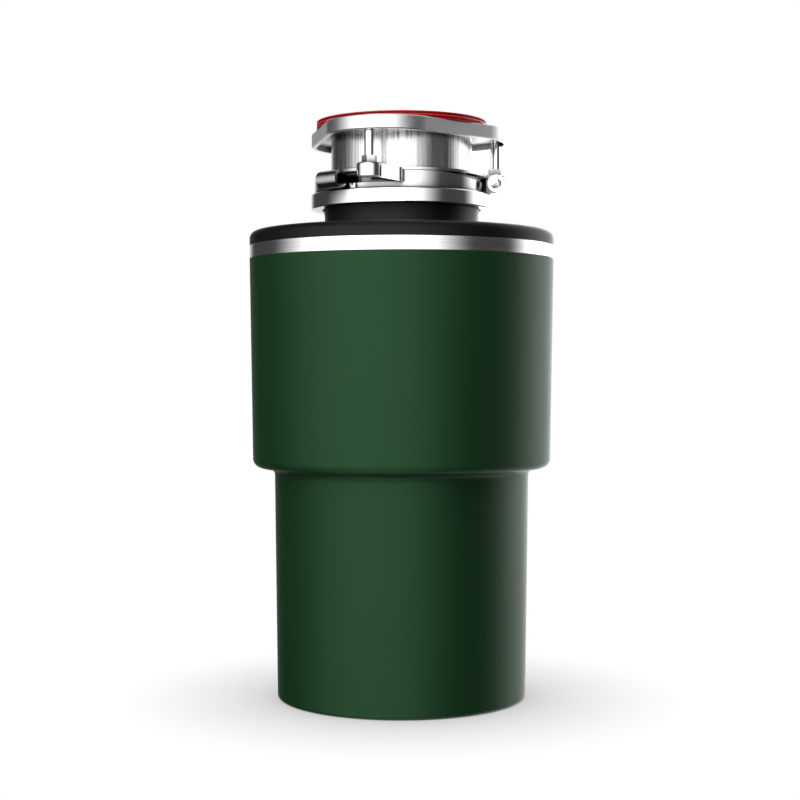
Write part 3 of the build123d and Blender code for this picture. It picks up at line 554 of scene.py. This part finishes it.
@dataclass(frozen=True)
class Wound(Finish):
    """Enamelled wire: close turns whose rounded backs catch the light through their relief, with
    painted highlight on the backs and painted shade in the gaps.
    """

    wire: float = 0.0009
    wire_depth: float = 0.0002
    # Painted shade: the share of the colour left in the gaps between turns.
    gap_shade: float = 0.4
    metal: float = 0.7
    roughness: float = 0.3
    unevenness: float = 0.15
    wander_scale: float = 90.0
    wander: float = 0.0015

    def material(self) -> bpy.types.Material:
        """Build the winding's nodes.

        Returns:
            The material.
        """
        graph = self.graph()
        height = graph.axes()[2]
        wander = graph.speckle(self.wander_scale, detail=2.0)
        wires = 0.5 + 0.5 * (graph.radius() + height + self.wander * wander).wave(self.wire)
        return graph.principled({
            # Painted highlight and shade: the colour is lighter on each turn's back and darker in the
            # gaps between turns.
            "Base Color": graph.tint(wires, shaded(self.colour, self.gap_shade), self.colour),
            "Metallic": self.metal,
            "Roughness": self.roughness + self.unevenness * (wander - 0.5),
            "Normal": graph.relief(wires, self.wire_depth),
        })


@dataclass(frozen=True)
class Foam(Finish):
    """Open foam: round cells, with painted shade in their hollows."""

    cell_scale: float = 700.0
    cell_depth: float = 0.0006
    roughness: float = 0.9
    unevenness: float = 0.1
    darkest: float = 0.5
    lightest: float = 1.3

    def material(self) -> bpy.types.Material:
        """Build the foam's nodes.

        Returns:
            The material.
        """
        graph = self.graph()
        cells = graph.cells(self.cell_scale)
        dark = shaded(self.colour, self.darkest)
        light = shaded(self.colour, self.lightest)
        return graph.principled({
            # Painted shade: the colour darkens towards each cell's hollow middle.
            "Base Color": graph.tint(cells, dark, light),
            "Roughness": self.roughness - self.unevenness * cells,
            "Normal": graph.relief(cells, self.cell_depth),
        })


GREEN = Enamel("green enamel", (0.004, 0.031, 0.0078), (0.55, 1.0, 0.62), turned=True)
BLACK_PLASTIC = Moulded("black plastic", (0.004, 0.004, 0.0042), gloss=0.2)
COVER_PLASTIC = Moulded("cover plastic", (0.004, 0.004, 0.0042), gloss=0.2, turned=True)
# Painted shade: a near-black inlay stands for the shade inside each screw's cross recess.
RECESS_SHADE = Moulded("screw recess", (0.012, 0.012, 0.013), roughness=0.6)
RED_PLASTIC = Moulded(
    "red plastic", (0.5, 0.02, 0.02), roughness=0.28, gloss=0.5, grain_scale=1800.0,
    grain_depth=0.000004)
BLACK_RUBBER = Rubber("black rubber", (0.005, 0.005, 0.0052))
NECK_RUBBER = Rubber(
    "neck rubber", (0.003, 0.003, 0.0031), roughness=0.42, gloss=0.2, bloom=1.3, turned=True)
CORD = Rubber("lacing cord", (0.6, 0.55, 0.42), roughness=0.8, gloss=0.2, bloom=1.2)
RED_RUBBER = Ribbed("red rubber", (0.74, 0.014, 0.016), GROOVE_HEIGHT)
TRIM = Brushed("brushed trim", (0.93, 0.93, 0.935), roughness=0.17, marks=0.12, turned=True)
SLEEVE = Spun(
    "brushed sleeve", (0.72, 0.72, 0.73), Grain.UPRIGHT, roughness=0.26, marks=0.3, mark_depth=0.00001,
    contrast=0.36, turn_height=LIP_HEIGHT, turned=True)
CHAMBER = Brushed("drawn steel", (0.62, 0.62, 0.64), roughness=0.3)
GROUND = Brushed("ground steel", (0.5, 0.5, 0.52), Grain.FLAT, roughness=0.34, marks=0.2)
SHAFT = Brushed("shaft steel", (0.6, 0.6, 0.62), roughness=0.22, marks=0.12)
SPRING = Brushed("spring steel", (0.36, 0.37, 0.4), roughness=0.32, marks=0.12)
PLATED = Brushed("plated steel", (0.88, 0.88, 0.89), Grain.UPRIGHT, roughness=0.16, marks=0.1)
BRIGHT_CAST = Cast("polished casting", (0.93, 0.93, 0.94), roughness=0.15, shade_reach=0.011, shade_power=3.0)
SATIN_CAST = Cast("satin casting", (0.74, 0.74, 0.76), roughness=0.36)
RAW_CAST = Cast(
    "raw casting", (0.55, 0.56, 0.58), roughness=0.42, swell_depth=0.00006, pore_scale=1300.0)
LAMINATIONS = Laminated("laminations", (0.3, 0.3, 0.32))
COPPER = Wound("winding", (0.72, 0.3, 0.14))
FOAM = Foam("foam", (0.05, 0.05, 0.055))


@dataclass
class Piece:
    """A fine piece that the frame leaves to the scene: a grid that closes both ways, and its finish."""

    name: str
    points: np.ndarray
    finish: Finish
    slot: str
    body: str = "housing"

    def make(self) -> bpy.types.Object:
        """Turn the grid into an object.

        Its faces look along the row step crossed with the column step.

        Returns:
            The object, riding on its body.
        """
        rows, columns = self.points.shape[:2]
        row = np.arange(rows)[:, None]
        column = np.arange(columns)[None, :]
        next_row = (row + 1) % rows
        next_column = (column + 1) % columns
        corners = (
            row * columns + column,
            next_row * columns + column,
            next_row * columns + next_column,
            row * columns + next_column,
        )
        faces = np.stack(corners, axis=-1).reshape(-1, 4)
        mesh = bpy.data.meshes.new(self.name)
        mesh.from_pydata(self.points.reshape(-1, 3).tolist(), [], faces.tolist())
        mesh.polygons.foreach_set("use_smooth", np.ones(len(faces), dtype=bool))
        piece = bpy.data.objects.new(self.name, mesh)
        bpy.context.scene.collection.objects.link(piece)
        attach(piece, self.body)
        return piece


class Wardrobe:
    """The materials made so far, one for each finish."""

    def __init__(self) -> None:
        """Start empty."""
        self.made: dict[Finish, bpy.types.Material] = {}

    def put(self, thing: bpy.types.Object, finish: Finish) -> None:
        """Put a finish on an object, in place of what it wore, and report it.

        Args:
            thing: The object.
            finish: Its finish.
        """
        if finish not in self.made:
            self.made[finish] = finish.material()
        thing.data.materials.clear()
        thing.data.materials.append(self.made[finish])
        LOG.info("%s wears %s", thing.name, finish.name)


def turns(count: int) -> np.ndarray:
    """Return evenly spaced angles round a full turn, in radians, without the one that closes it."""
    return np.linspace(0, TURN, count, endpoint=False)


def hoop(radius: Span, around: np.ndarray, height: Span) -> np.ndarray:
    """Return points round the axis, from their distance to it, their angles and their heights."""
    level = (radius * np.cos(around), radius * np.sin(around))
    return np.stack(np.broadcast_arrays(*level, height), axis=-1)


def bands(count: int) -> list[list[int]]:
    """Return the faces between two rings of points that follow each other.

    Args:
        count: The number of points in a ring.

    Returns:
        The faces, as point numbers.
    """
    first = np.arange(count)
    after = (first + 1) % count
    return np.stack([first, first + count, after + count, after], axis=1).tolist()


def middle_of(node: str) -> Vector:
    """Return the middle of a node's box, in metres."""
    low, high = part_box(node)
    return (Vector(low) + Vector(high)) / 2


@dataclass
class SubAssembly(ABC):
    """Frame nodes that belong together, with the fine pieces that the frame leaves to the scene.

    All sizes are in metres.
    """

    @abstractmethod
    def finishes(self) -> dict[str, Finish]:
        """Return the finish of each frame node."""

    def build(self) -> list[Piece]:
        """Return the fine pieces."""
        return []

    def dress(self, wardrobe: Wardrobe) -> str:
        """Put the finishes on nodes and pieces.

        Args:
            wardrobe: Where the materials come from.

        Returns:
            What was dressed, in words.
        """
        finishes = self.finishes()
        for node, finish in finishes.items():
            wardrobe.put(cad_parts[node], finish)
        pieces = self.build()
        for piece in pieces:
            wardrobe.put(piece.make(), piece.finish)
        return f"{type(self).__name__}: {len(finishes)} nodes, {len(pieces)} fine pieces"


@dataclass
class Base(SubAssembly):
    """The base cover with its screws and reset button, and the cord's gland."""

    screw_count: int = 4
    screw_head_r: float = 0.0035
    recess_r: float = 0.0022
    recess_core: float = 0.25
    recess_eye: float = 0.02
    recess_depth: float = 0.0003
    recess_proud: float = 0.00002
    recess_points: int = 96
    flute_count: int = 24
    flute_points: int = 8
    flute_sections: int = 13
    flute_floor: float = 0.6
    flute_depth: float = 0.0006
    flute_sunk: float = 0.00015
    flute_end: float = 0.0032
    flute_length: float = 0.0052

    def finishes(self) -> dict[str, Finish]:
        """Choose what each frame node wears.

        Returns:
            The finishes, by node.
        """
        return {
            "base_cover": BLACK_PLASTIC,
            "base_screws": PLATED,
            "overload_protector": BLACK_PLASTIC,
            "reset_button": RED_PLASTIC,
            "cable_gland": BLACK_PLASTIC,
        }

    def recess(self, bearing: float) -> np.ndarray:
        """Shape a dark inlay of painted shade in a screw's cross recess.

        Round the head's middle the edge is a four-leaved curve: its radius is a core plus the rest
        times the fourth power of the cosine of twice the angle. It is a thin closed inlay, sunk in the
        head, with a tiny eye in its middle.

        Args:
            bearing: Where the screw stands, as an angle about the axis.

        Returns:
            Points by place round the inlay's section and by angle.
        """
        low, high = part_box("base_screws")
        circle = (high[0] - self.screw_head_r) / math.cos(TURN / self.screw_count / 2)
        half_section = np.array([self.recess_eye, 0.5, 1])
        share = np.append(half_section, half_section[::-1])[:, None]
        rise = np.repeat([0, self.recess_depth], len(half_section))[:, None] - self.recess_proud
        angle = turns(self.recess_points)[None, :]
        leaf = self.recess_r * (self.recess_core + (1 - self.recess_core) * np.cos(2 * angle) ** 4)
        across = circle * math.cos(bearing) + share * leaf * np.cos(angle + bearing)
        along = circle * math.sin(bearing) + share * leaf * np.sin(angle + bearing)
        height = low[2] + rise * np.ones_like(across)
        return np.stack([across, along, height], axis=-1)[:, ::-1]

    def flutes(self) -> np.ndarray:
        """Shape the gland cap's grip.

        Along the cap the root of a half wave raises the sleeve from the cap, and round it a cosine adds
        the flutes. The sleeve is closed inside the cap by a plain round wall.

        Returns:
            Points by place round the sleeve's section and by angle.
        """
        low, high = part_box("cable_gland")
        middle = middle_of("cable_gland")
        sunk_r = (high[2] - low[2]) / 2 - self.flute_sunk
        outside = np.linspace(0, 1, self.flute_sections)
        along = np.append(outside, [1, 0])[:, None]
        swell = np.append(np.sin(math.pi * outside) ** 0.5, [0, 0])[:, None]
        wall = np.append(np.zeros_like(outside), [1, 1])[:, None] * self.flute_depth
        angle = turns(self.flute_count * self.flute_points)[None, :]
        flutes = self.flute_floor + (1 - self.flute_floor) * np.cos(self.flute_count * angle)
        radius = sunk_r + self.flute_depth * swell * flutes - wall
        depth = high[1] - self.flute_end - self.flute_length * (1 - along) * np.ones_like(angle)
        points = [middle.x + radius * np.cos(angle), depth, middle.z - radius * np.sin(angle)]
        return np.stack(points, axis=-1)[:, ::-1]

    def build(self) -> list[Piece]:
        """Shape the screw recesses' painted shade and the gland's grip.

        Returns:
            The pieces.
        """
        pieces = [Piece("gland_grip", self.flutes(), BLACK_PLASTIC, "black_plastic")]
        for number in range(self.screw_count):
            points = self.recess((number + 0.5) * TURN / self.screw_count)
            pieces.append(Piece(f"screw_recess_shade_{number}", points, RECESS_SHADE, "screw_steel"))
        return pieces


@dataclass
class Shell(SubAssembly):
    """The painted shell, its trim band and top cover, and the foam inside."""

    def finishes(self) -> dict[str, Finish]:
        """Choose what each frame node wears.

        Returns:
            The finishes, by node.
        """
        return {
            "body_shell": GREEN,
            "trim_band": TRIM,
            "top_cover": COVER_PLASTIC,
            "sound_liner": FOAM,
        }


@dataclass
class Motor(SubAssembly):
    """The induction motor, with the cord that laces its end turns."""

    coil_depth: float = 0.0135
    coil_height: float = 0.014
    cord_r: float = 0.0007
    lacing_turns: int = 30
    lacing_squareness: float = 0.6
    turn_points: int = 40
    cord_points: int = 10

    def finishes(self) -> dict[str, Finish]:
        """Choose what each frame node wears.

        Returns:
            The finishes, by node.
        """
        return {
            "motor_bell": RAW_CAST,
            "motor_shaft": SHAFT,
            "rotor_core": LAMINATIONS,
            "stator_core": LAMINATIONS,
            "stator_winding": COPPER,
            "upper_bearing": SHAFT,
            "lower_bearing": SHAFT,
            "shaft_seal": BLACK_RUBBER,
            "lower_bracket": RAW_CAST,
            "through_bolts": PLATED,
        }

    def squared(self, wave: np.ndarray) -> np.ndarray:
        """Return a wave with fuller crests, of the same signs."""
        return np.sign(wave) * np.abs(wave) ** self.lacing_squareness

    def lacing(self, height: float) -> np.ndarray:
        """Shape the cord round one end coil.

        The path winds round the coil's ring as a spring bent into a hoop, with a squarish turn: the
        sine and cosine of the winding angle keep their sign and are raised to a power below one. A
        circle is carried along it.

        Args:
            height: Height of the coil's middle.

        Returns:
            Points by place along the path and round the cord.
        """
        ring_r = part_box("stator_winding")[1][0] - self.coil_depth / 2
        way = turns(self.lacing_turns * self.turn_points)
        wind = self.lacing_turns * way
        out = (self.coil_depth + self.cord_r) / 2 * self.squared(np.cos(wind))
        lift = (self.coil_height + self.cord_r) / 2 * self.squared(np.sin(wind))
        away = hoop(out, way, lift)
        path = hoop(ring_r, way, height) + away
        ahead = np.roll(path, -1, axis=0) - np.roll(path, 1, axis=0)
        ahead /= np.linalg.norm(ahead, axis=1, keepdims=True)
        side = np.cross(ahead, away)
        side /= np.linalg.norm(side, axis=1, keepdims=True)
        up = np.cross(side, ahead)
        round_cord = turns(self.cord_points)[None, :, None]
        ring = np.cos(round_cord) * up[:, None, :] + np.sin(round_cord) * side[:, None, :]
        return (path[:, None, :] + self.cord_r * ring)[:, ::-1]

    def build(self) -> list[Piece]:
        """Lace both end coils.

        Returns:
            The pieces.
        """
        low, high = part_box("stator_winding")
        lower = self.lacing(low[2] + self.coil_height / 2)
        upper = self.lacing(high[2] - self.coil_height / 2)
        return [
            Piece("lower_lacing", lower, CORD, "copper"),
            Piece("upper_lacing", upper, CORD, "copper"),
        ]


@dataclass
class Grinder(SubAssembly):
    """The hopper and chamber, what turns in it, and the drain, with beads on the spigot for a hose."""

    spigot_step: float = 0.0015
    bead_r: float = 0.0007
    bead_insets: tuple[float, ...] = (0.004, 0.0085)
    around_points: int = 128
    bead_points: int = 16

    def finishes(self) -> dict[str, Finish]:
        """Choose what each frame node wears.

        Returns:
            The finishes, by node.
        """
        return {
            "hopper": CHAMBER,
            "shredder_ring": GROUND,
            "turntable": GROUND,
            "turntable_nut": PLATED,
            "impeller_pins": SHAFT,
            "impeller_1": GROUND,
            "impeller_2": GROUND,
            "drain_bowl": RAW_CAST,
            "drain_spigot": RAW_CAST,
            "seal_turret": RAW_CAST,
            "bowl_seal": BLACK_RUBBER,
            "clamp_band": CHAMBER,
            "outlet_grommet": BLACK_RUBBER,
        }

    def bead(self, inset: float) -> np.ndarray:
        """Shape a hose bead: a small circle carried round the spigot's axis.

        Args:
            inset: Distance from the spigot's open end.

        Returns:
            Points by angle round the spigot and round the bead.
        """
        low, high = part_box("drain_spigot")
        middle = middle_of("drain_spigot")
        spigot_r = (high[2] - low[2]) / 2 - self.spigot_step
        around = turns(self.around_points)[:, None]
        section = turns(self.bead_points)[None, :]
        radius = spigot_r + self.bead_r * np.cos(section)
        along = high[1] - inset + self.bead_r * np.sin(section) * np.ones_like(around)
        points = [middle.x + radius * np.cos(around), along, middle.z + radius * np.sin(around)]
        return np.stack(points, axis=-1)[:, ::-1]

    def build(self) -> list[Piece]:
        """Shape the hose beads.

        Returns:
            The pieces.
        """
        return [
            Piece(f"hose_bead_{number}", self.bead(inset), RAW_CAST, "cast_aluminium")
            for number, inset in enumerate(self.bead_insets, start=1)
        ]


@dataclass
class SinkMount(SubAssembly):
    """The neck, the twist lock and the screwed sink clamp, with ridges on the splash guard."""

    ridge_r: float = 0.0005
    ridge_insets: tuple[float, ...] = (0.0013, 0.0034)
    around_points: int = 160
    ridge_points: int = 12

    def finishes(self) -> dict[str, Finish]:
        """Choose what each frame node wears.

        Returns:
            The finishes, by node.
        """
        return {
            "neck_mount": NECK_RUBBER,
            "splash_guard": BLACK_RUBBER,
            "guard_flaps": BLACK_RUBBER,
            "lock_ring": BRIGHT_CAST,
            "lock_ramps": BRIGHT_CAST,
            "tube_cradles": BRIGHT_CAST,
            "wrench_tubes": BRIGHT_CAST,
            "mounting_ring": BRIGHT_CAST,
            "lock_nuts": BRIGHT_CAST,
            "snap_ring": SPRING,
            "clamp_screw_1": PLATED,
            "clamp_screw_2": PLATED,
            "clamp_screw_3": PLATED,
            "backup_plate": SATIN_CAST,
            "sink_flange": SLEEVE,
            "lower_gasket": RED_RUBBER,
            "upper_gasket": RED_RUBBER,
        }

    def ridge(self, inset: float) -> np.ndarray:
        """Shape a ridge on the guard's flange: a small circle carried round the axis.

        Args:
            inset: Distance from the flange's edge.

        Returns:
            Points by angle round the axis and round the ridge.
        """
        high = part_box("splash_guard")[1]
        around = turns(self.around_points)[:, None]
        section = turns(self.ridge_points)[None, :]
        radius = high[0] - inset + self.ridge_r * np.cos(section)
        height = high[2] + self.ridge_r * np.sin(section)
        return hoop(radius, around, height)

    def build(self) -> list[Piece]:
        """Shape the guard's ridges, which lift out with it.

        Returns:
            The pieces.
        """
        pieces = []
        for number, inset in enumerate(self.ridge_insets, start=1):
            name = f"guard_ridge_{number}"
            points = self.ridge(inset)
            pieces.append(Piece(name, points, BLACK_RUBBER, "black_rubber", body="splash_guard"))
        return pieces


@dataclass(frozen=True)
class Lamp:
    """A soft lamp that faces the object.

    Its azimuth is in degrees from the front to the right, its power in watts and the rest in metres.
    """

    name: str
    azimuth: float
    distance: float
    height: float
    width: float
    length: float
    power: float

    def hang(self, target: Vector) -> None:
        """Hang the lamp, hidden from reflections.

        Args:
            target: What it faces.
        """
        turn = math.radians(self.azimuth)
        place = Vector((self.distance * math.sin(turn), -self.distance * math.cos(turn), self.height))
        light = bpy.data.lights.new(self.name, "AREA")
        light.shape = "RECTANGLE"
        light.size = self.width
        light.size_y = self.length
        light.energy = self.power
        lamp = bpy.data.objects.new(self.name, light)
        lamp.visible_glossy = False
        lamp.location = place
        lamp.rotation_euler = (target - place).to_track_quat("-Z", "Y").to_euler()
        bpy.context.scene.collection.objects.link(lamp)


KEY_LAMP = Lamp("key", azimuth=-35, distance=1.4, height=0.9, width=0.9, length=1.2, power=9.0)
TOP_LAMP = Lamp("top", azimuth=0, distance=0.2, height=1.6, width=1.4, length=1.4, power=10.0)


@dataclass
class Studio:
    """The white room: floor, world, lamps, camera, and the graded wall that reflections show.

    A glow is a brightness, where 1 is white. A light's start and end are the azimuths between which
    it rises and falls, and a step is the heights between which the wall changes.
    """

    eye_distance: float = 0.9987
    eye_height: float = 0.201
    lens: float = 73.4
    horizon_rise: float = 34 / PICTURE_WIDTH
    axis_shift: float = 1.6 / PICTURE_WIDTH
    ring_points: int = 180
    floor_r: float = 6.0
    shadow_reach: float = 0.1
    shadow_depth: float = 0.85
    ambient: float = 0.55
    wall_r: float = 0.9
    wall_low: float = -1.6
    wall_high: float = 2.5
    low_glow: float = 0.55
    low_step: Pair = (-0.45, 0.25)
    high_glow: float = 0.2
    high_step: Pair = (0.5, 1.4)
    key_glow: float = 2.3
    key_start: Pair = (-106, -38)
    key_end: Pair = (-5, 52)
    rim_glow: float = 2.4
    rim_start: Pair = (81, 122)
    rim_loss: float = 0.6
    rim_end: Pair = (118, 142)
    edge_glow: float = 4.0
    edge_start: Pair = (134, 162)
    edge_loss: float = 0.8
    edge_end: Pair = (164, 176)
    behind_end: Pair = (-168, -140)
    dusk: float = 0.05
    lamps: tuple[Lamp, ...] = (KEY_LAMP, TOP_LAMP)
    target: Vector = field(default_factory=lambda: Vector((0, 0, 0.2)))

    def stand(
        self, name: str, rings: list[np.ndarray], material: bpy.types.Material
    ) -> bpy.types.Object:
        """Put a stage object in the room: the strip between two rings of points.

        Args:
            name: Its name.
            rings: The two rings.
            material: What covers it.

        Returns:
            The object.
        """
        mesh = bpy.data.meshes.new(name)
        mesh.from_pydata(np.concatenate(rings).tolist(), [], bands(len(rings[0])))
        mesh.materials.append(material)
        thing = bpy.data.objects.new(name, mesh)
        bpy.context.scene.collection.objects.link(thing)
        return thing

    def ring(self, radius: float, height: float) -> np.ndarray:
        """Return points round the axis, at a distance from it and a height above the floor."""
        return hoop(radius, turns(self.ring_points), height)

    def floor(self) -> None:
        """Lay a white floor, open under the base, with a painted shadow near the object, and clear from
        below.

        Reflections show the wall in its place.
        """
        graph = Graph(bpy.data.materials.new("floor"))
        camera, glossy, through = self.rays(graph)
        # Painted shadow: the floor darkens where the object hides its surroundings.
        lit = 1 - self.shadow_depth * graph.hidden(self.shadow_reach)
        white = graph.node("ShaderNodeEmission", {}, {"Color": (camera + glossy + through) * lit})
        clear = graph.node("ShaderNodeBsdfTransparent", {}, {})
        below = graph.node("ShaderNodeNewGeometry", {}, {}).outputs["Backfacing"]
        inputs = {0: below, 1: white.outputs[0], 2: clear.outputs[0]}
        whole = graph.node("ShaderNodeMixShader", {}, inputs)
        rings = [self.ring(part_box("base_cover")[1][0], 0), self.ring(self.floor_r, 0)]
        surface = self.stand("floor", rings, graph.close(whole))
        surface.visible_glossy = False

    def glow(self, graph: Graph) -> Signal:
        """Return what reflections see round the object: a broad light, dusk beside it, light behind.

        Each light is a product of smooth steps of the azimuth, in degrees from the front to the right.

        Args:
            graph: The graph that the signal is for.

        Returns:
            The brightness.
        """
        across, along, _ = graph.axes()
        azimuth = across.maths("ARCTAN2", across, -1 * along) * (180 / math.pi)
        key = self.key_glow * azimuth.rising(*self.key_start) * (1 - azimuth.rising(*self.key_end))
        rim = self.rim_glow * azimuth.rising(*self.rim_start)
        rim = rim * (1 - self.rim_loss * azimuth.rising(*self.rim_end))
        edge = self.edge_glow * azimuth.rising(*self.edge_start)
        edge = edge * (1 - self.edge_loss * azimuth.rising(*self.edge_end))
        behind = 1 - azimuth.rising(*self.behind_end)
        return self.dusk + key + rim + edge + behind

    @staticmethod
    def rays(graph: Graph) -> tuple[Signal, Signal, Signal]:
        """Return what kind of ray asks.

        Args:
            graph: The graph that the signals are for.

        Returns:
            The camera, glossy and transmission ray's signals, each 0 or 1.
        """
        path = graph.node("ShaderNodeLightPath", {}, {})
        kinds = ("Is Camera Ray", "Is Glossy Ray", "Is Transmission Ray")
        return tuple(Signal(graph, path.outputs[kind]) for kind in kinds)

    def world(self) -> None:
        """Light the scene evenly, and show white behind it."""
        world = bpy.data.worlds.new("white")
        bpy.context.scene.world = world
        graph = Graph(world)
        camera, glossy, through = self.rays(graph)
        brightness = self.ambient + (1 - self.ambient) * (camera + glossy + through)
        light = graph.node("ShaderNodeBackground", {}, {"Color": brightness})
        graph.node("ShaderNodeOutputWorld", {}, {"Surface": light.outputs[0]})

    def wall(self) -> None:
        """Stand a round wall that only reflections see: the glow, darker low down and overhead."""
        graph = Graph(bpy.data.materials.new("wall"))
        height = graph.axes()[2]
        overhead = 1 - (1 - self.high_glow) * height.rising(*self.high_step)
        low = self.low_glow + (1 - self.low_glow) * height.rising(*self.low_step)
        grey = graph.node("ShaderNodeEmission", {}, {"Color": self.glow(graph) * overhead * low})
        rings = [self.ring(self.wall_r, self.wall_low), self.ring(self.wall_r, self.wall_high)]
        screen = self.stand("wall", rings, graph.close(grey))
        screen.visible_camera = False
        screen.visible_diffuse = False
        screen.visible_shadow = False

    def camera(self) -> None:
        """Stand a level camera in front, shifted so that the horizon lies above the middle."""
        data = bpy.data.cameras.new("camera")
        data.sensor_width = 36.0
        data.lens = self.lens
        data.shift_x = -self.axis_shift
        data.shift_y = -self.horizon_rise
        camera = bpy.data.objects.new("camera", data)
        camera.location = (0, -self.eye_distance, self.eye_height)
        camera.rotation_euler = (math.radians(90), 0, 0)
        bpy.context.scene.collection.objects.link(camera)
        bpy.context.scene.camera = camera

    def build(self) -> None:
        """Set up the whole room."""
        self.floor()
        self.world()
        for lamp in self.lamps:
            lamp.hang(self.target)
        self.wall()
        self.camera()
        bpy.context.scene.view_settings.view_transform = "Standard"


def main() -> None:
    """Dress every sub-assembly, then set up the room."""
    logging.basicConfig(level=logging.INFO)
    wardrobe = Wardrobe()
    for assembly in (Base(), Shell(), Motor(), Grinder(), SinkMount()):
        LOG.info(assembly.dress(wardrobe))
    Studio().build()


if __name__ == "__main__":
    main()
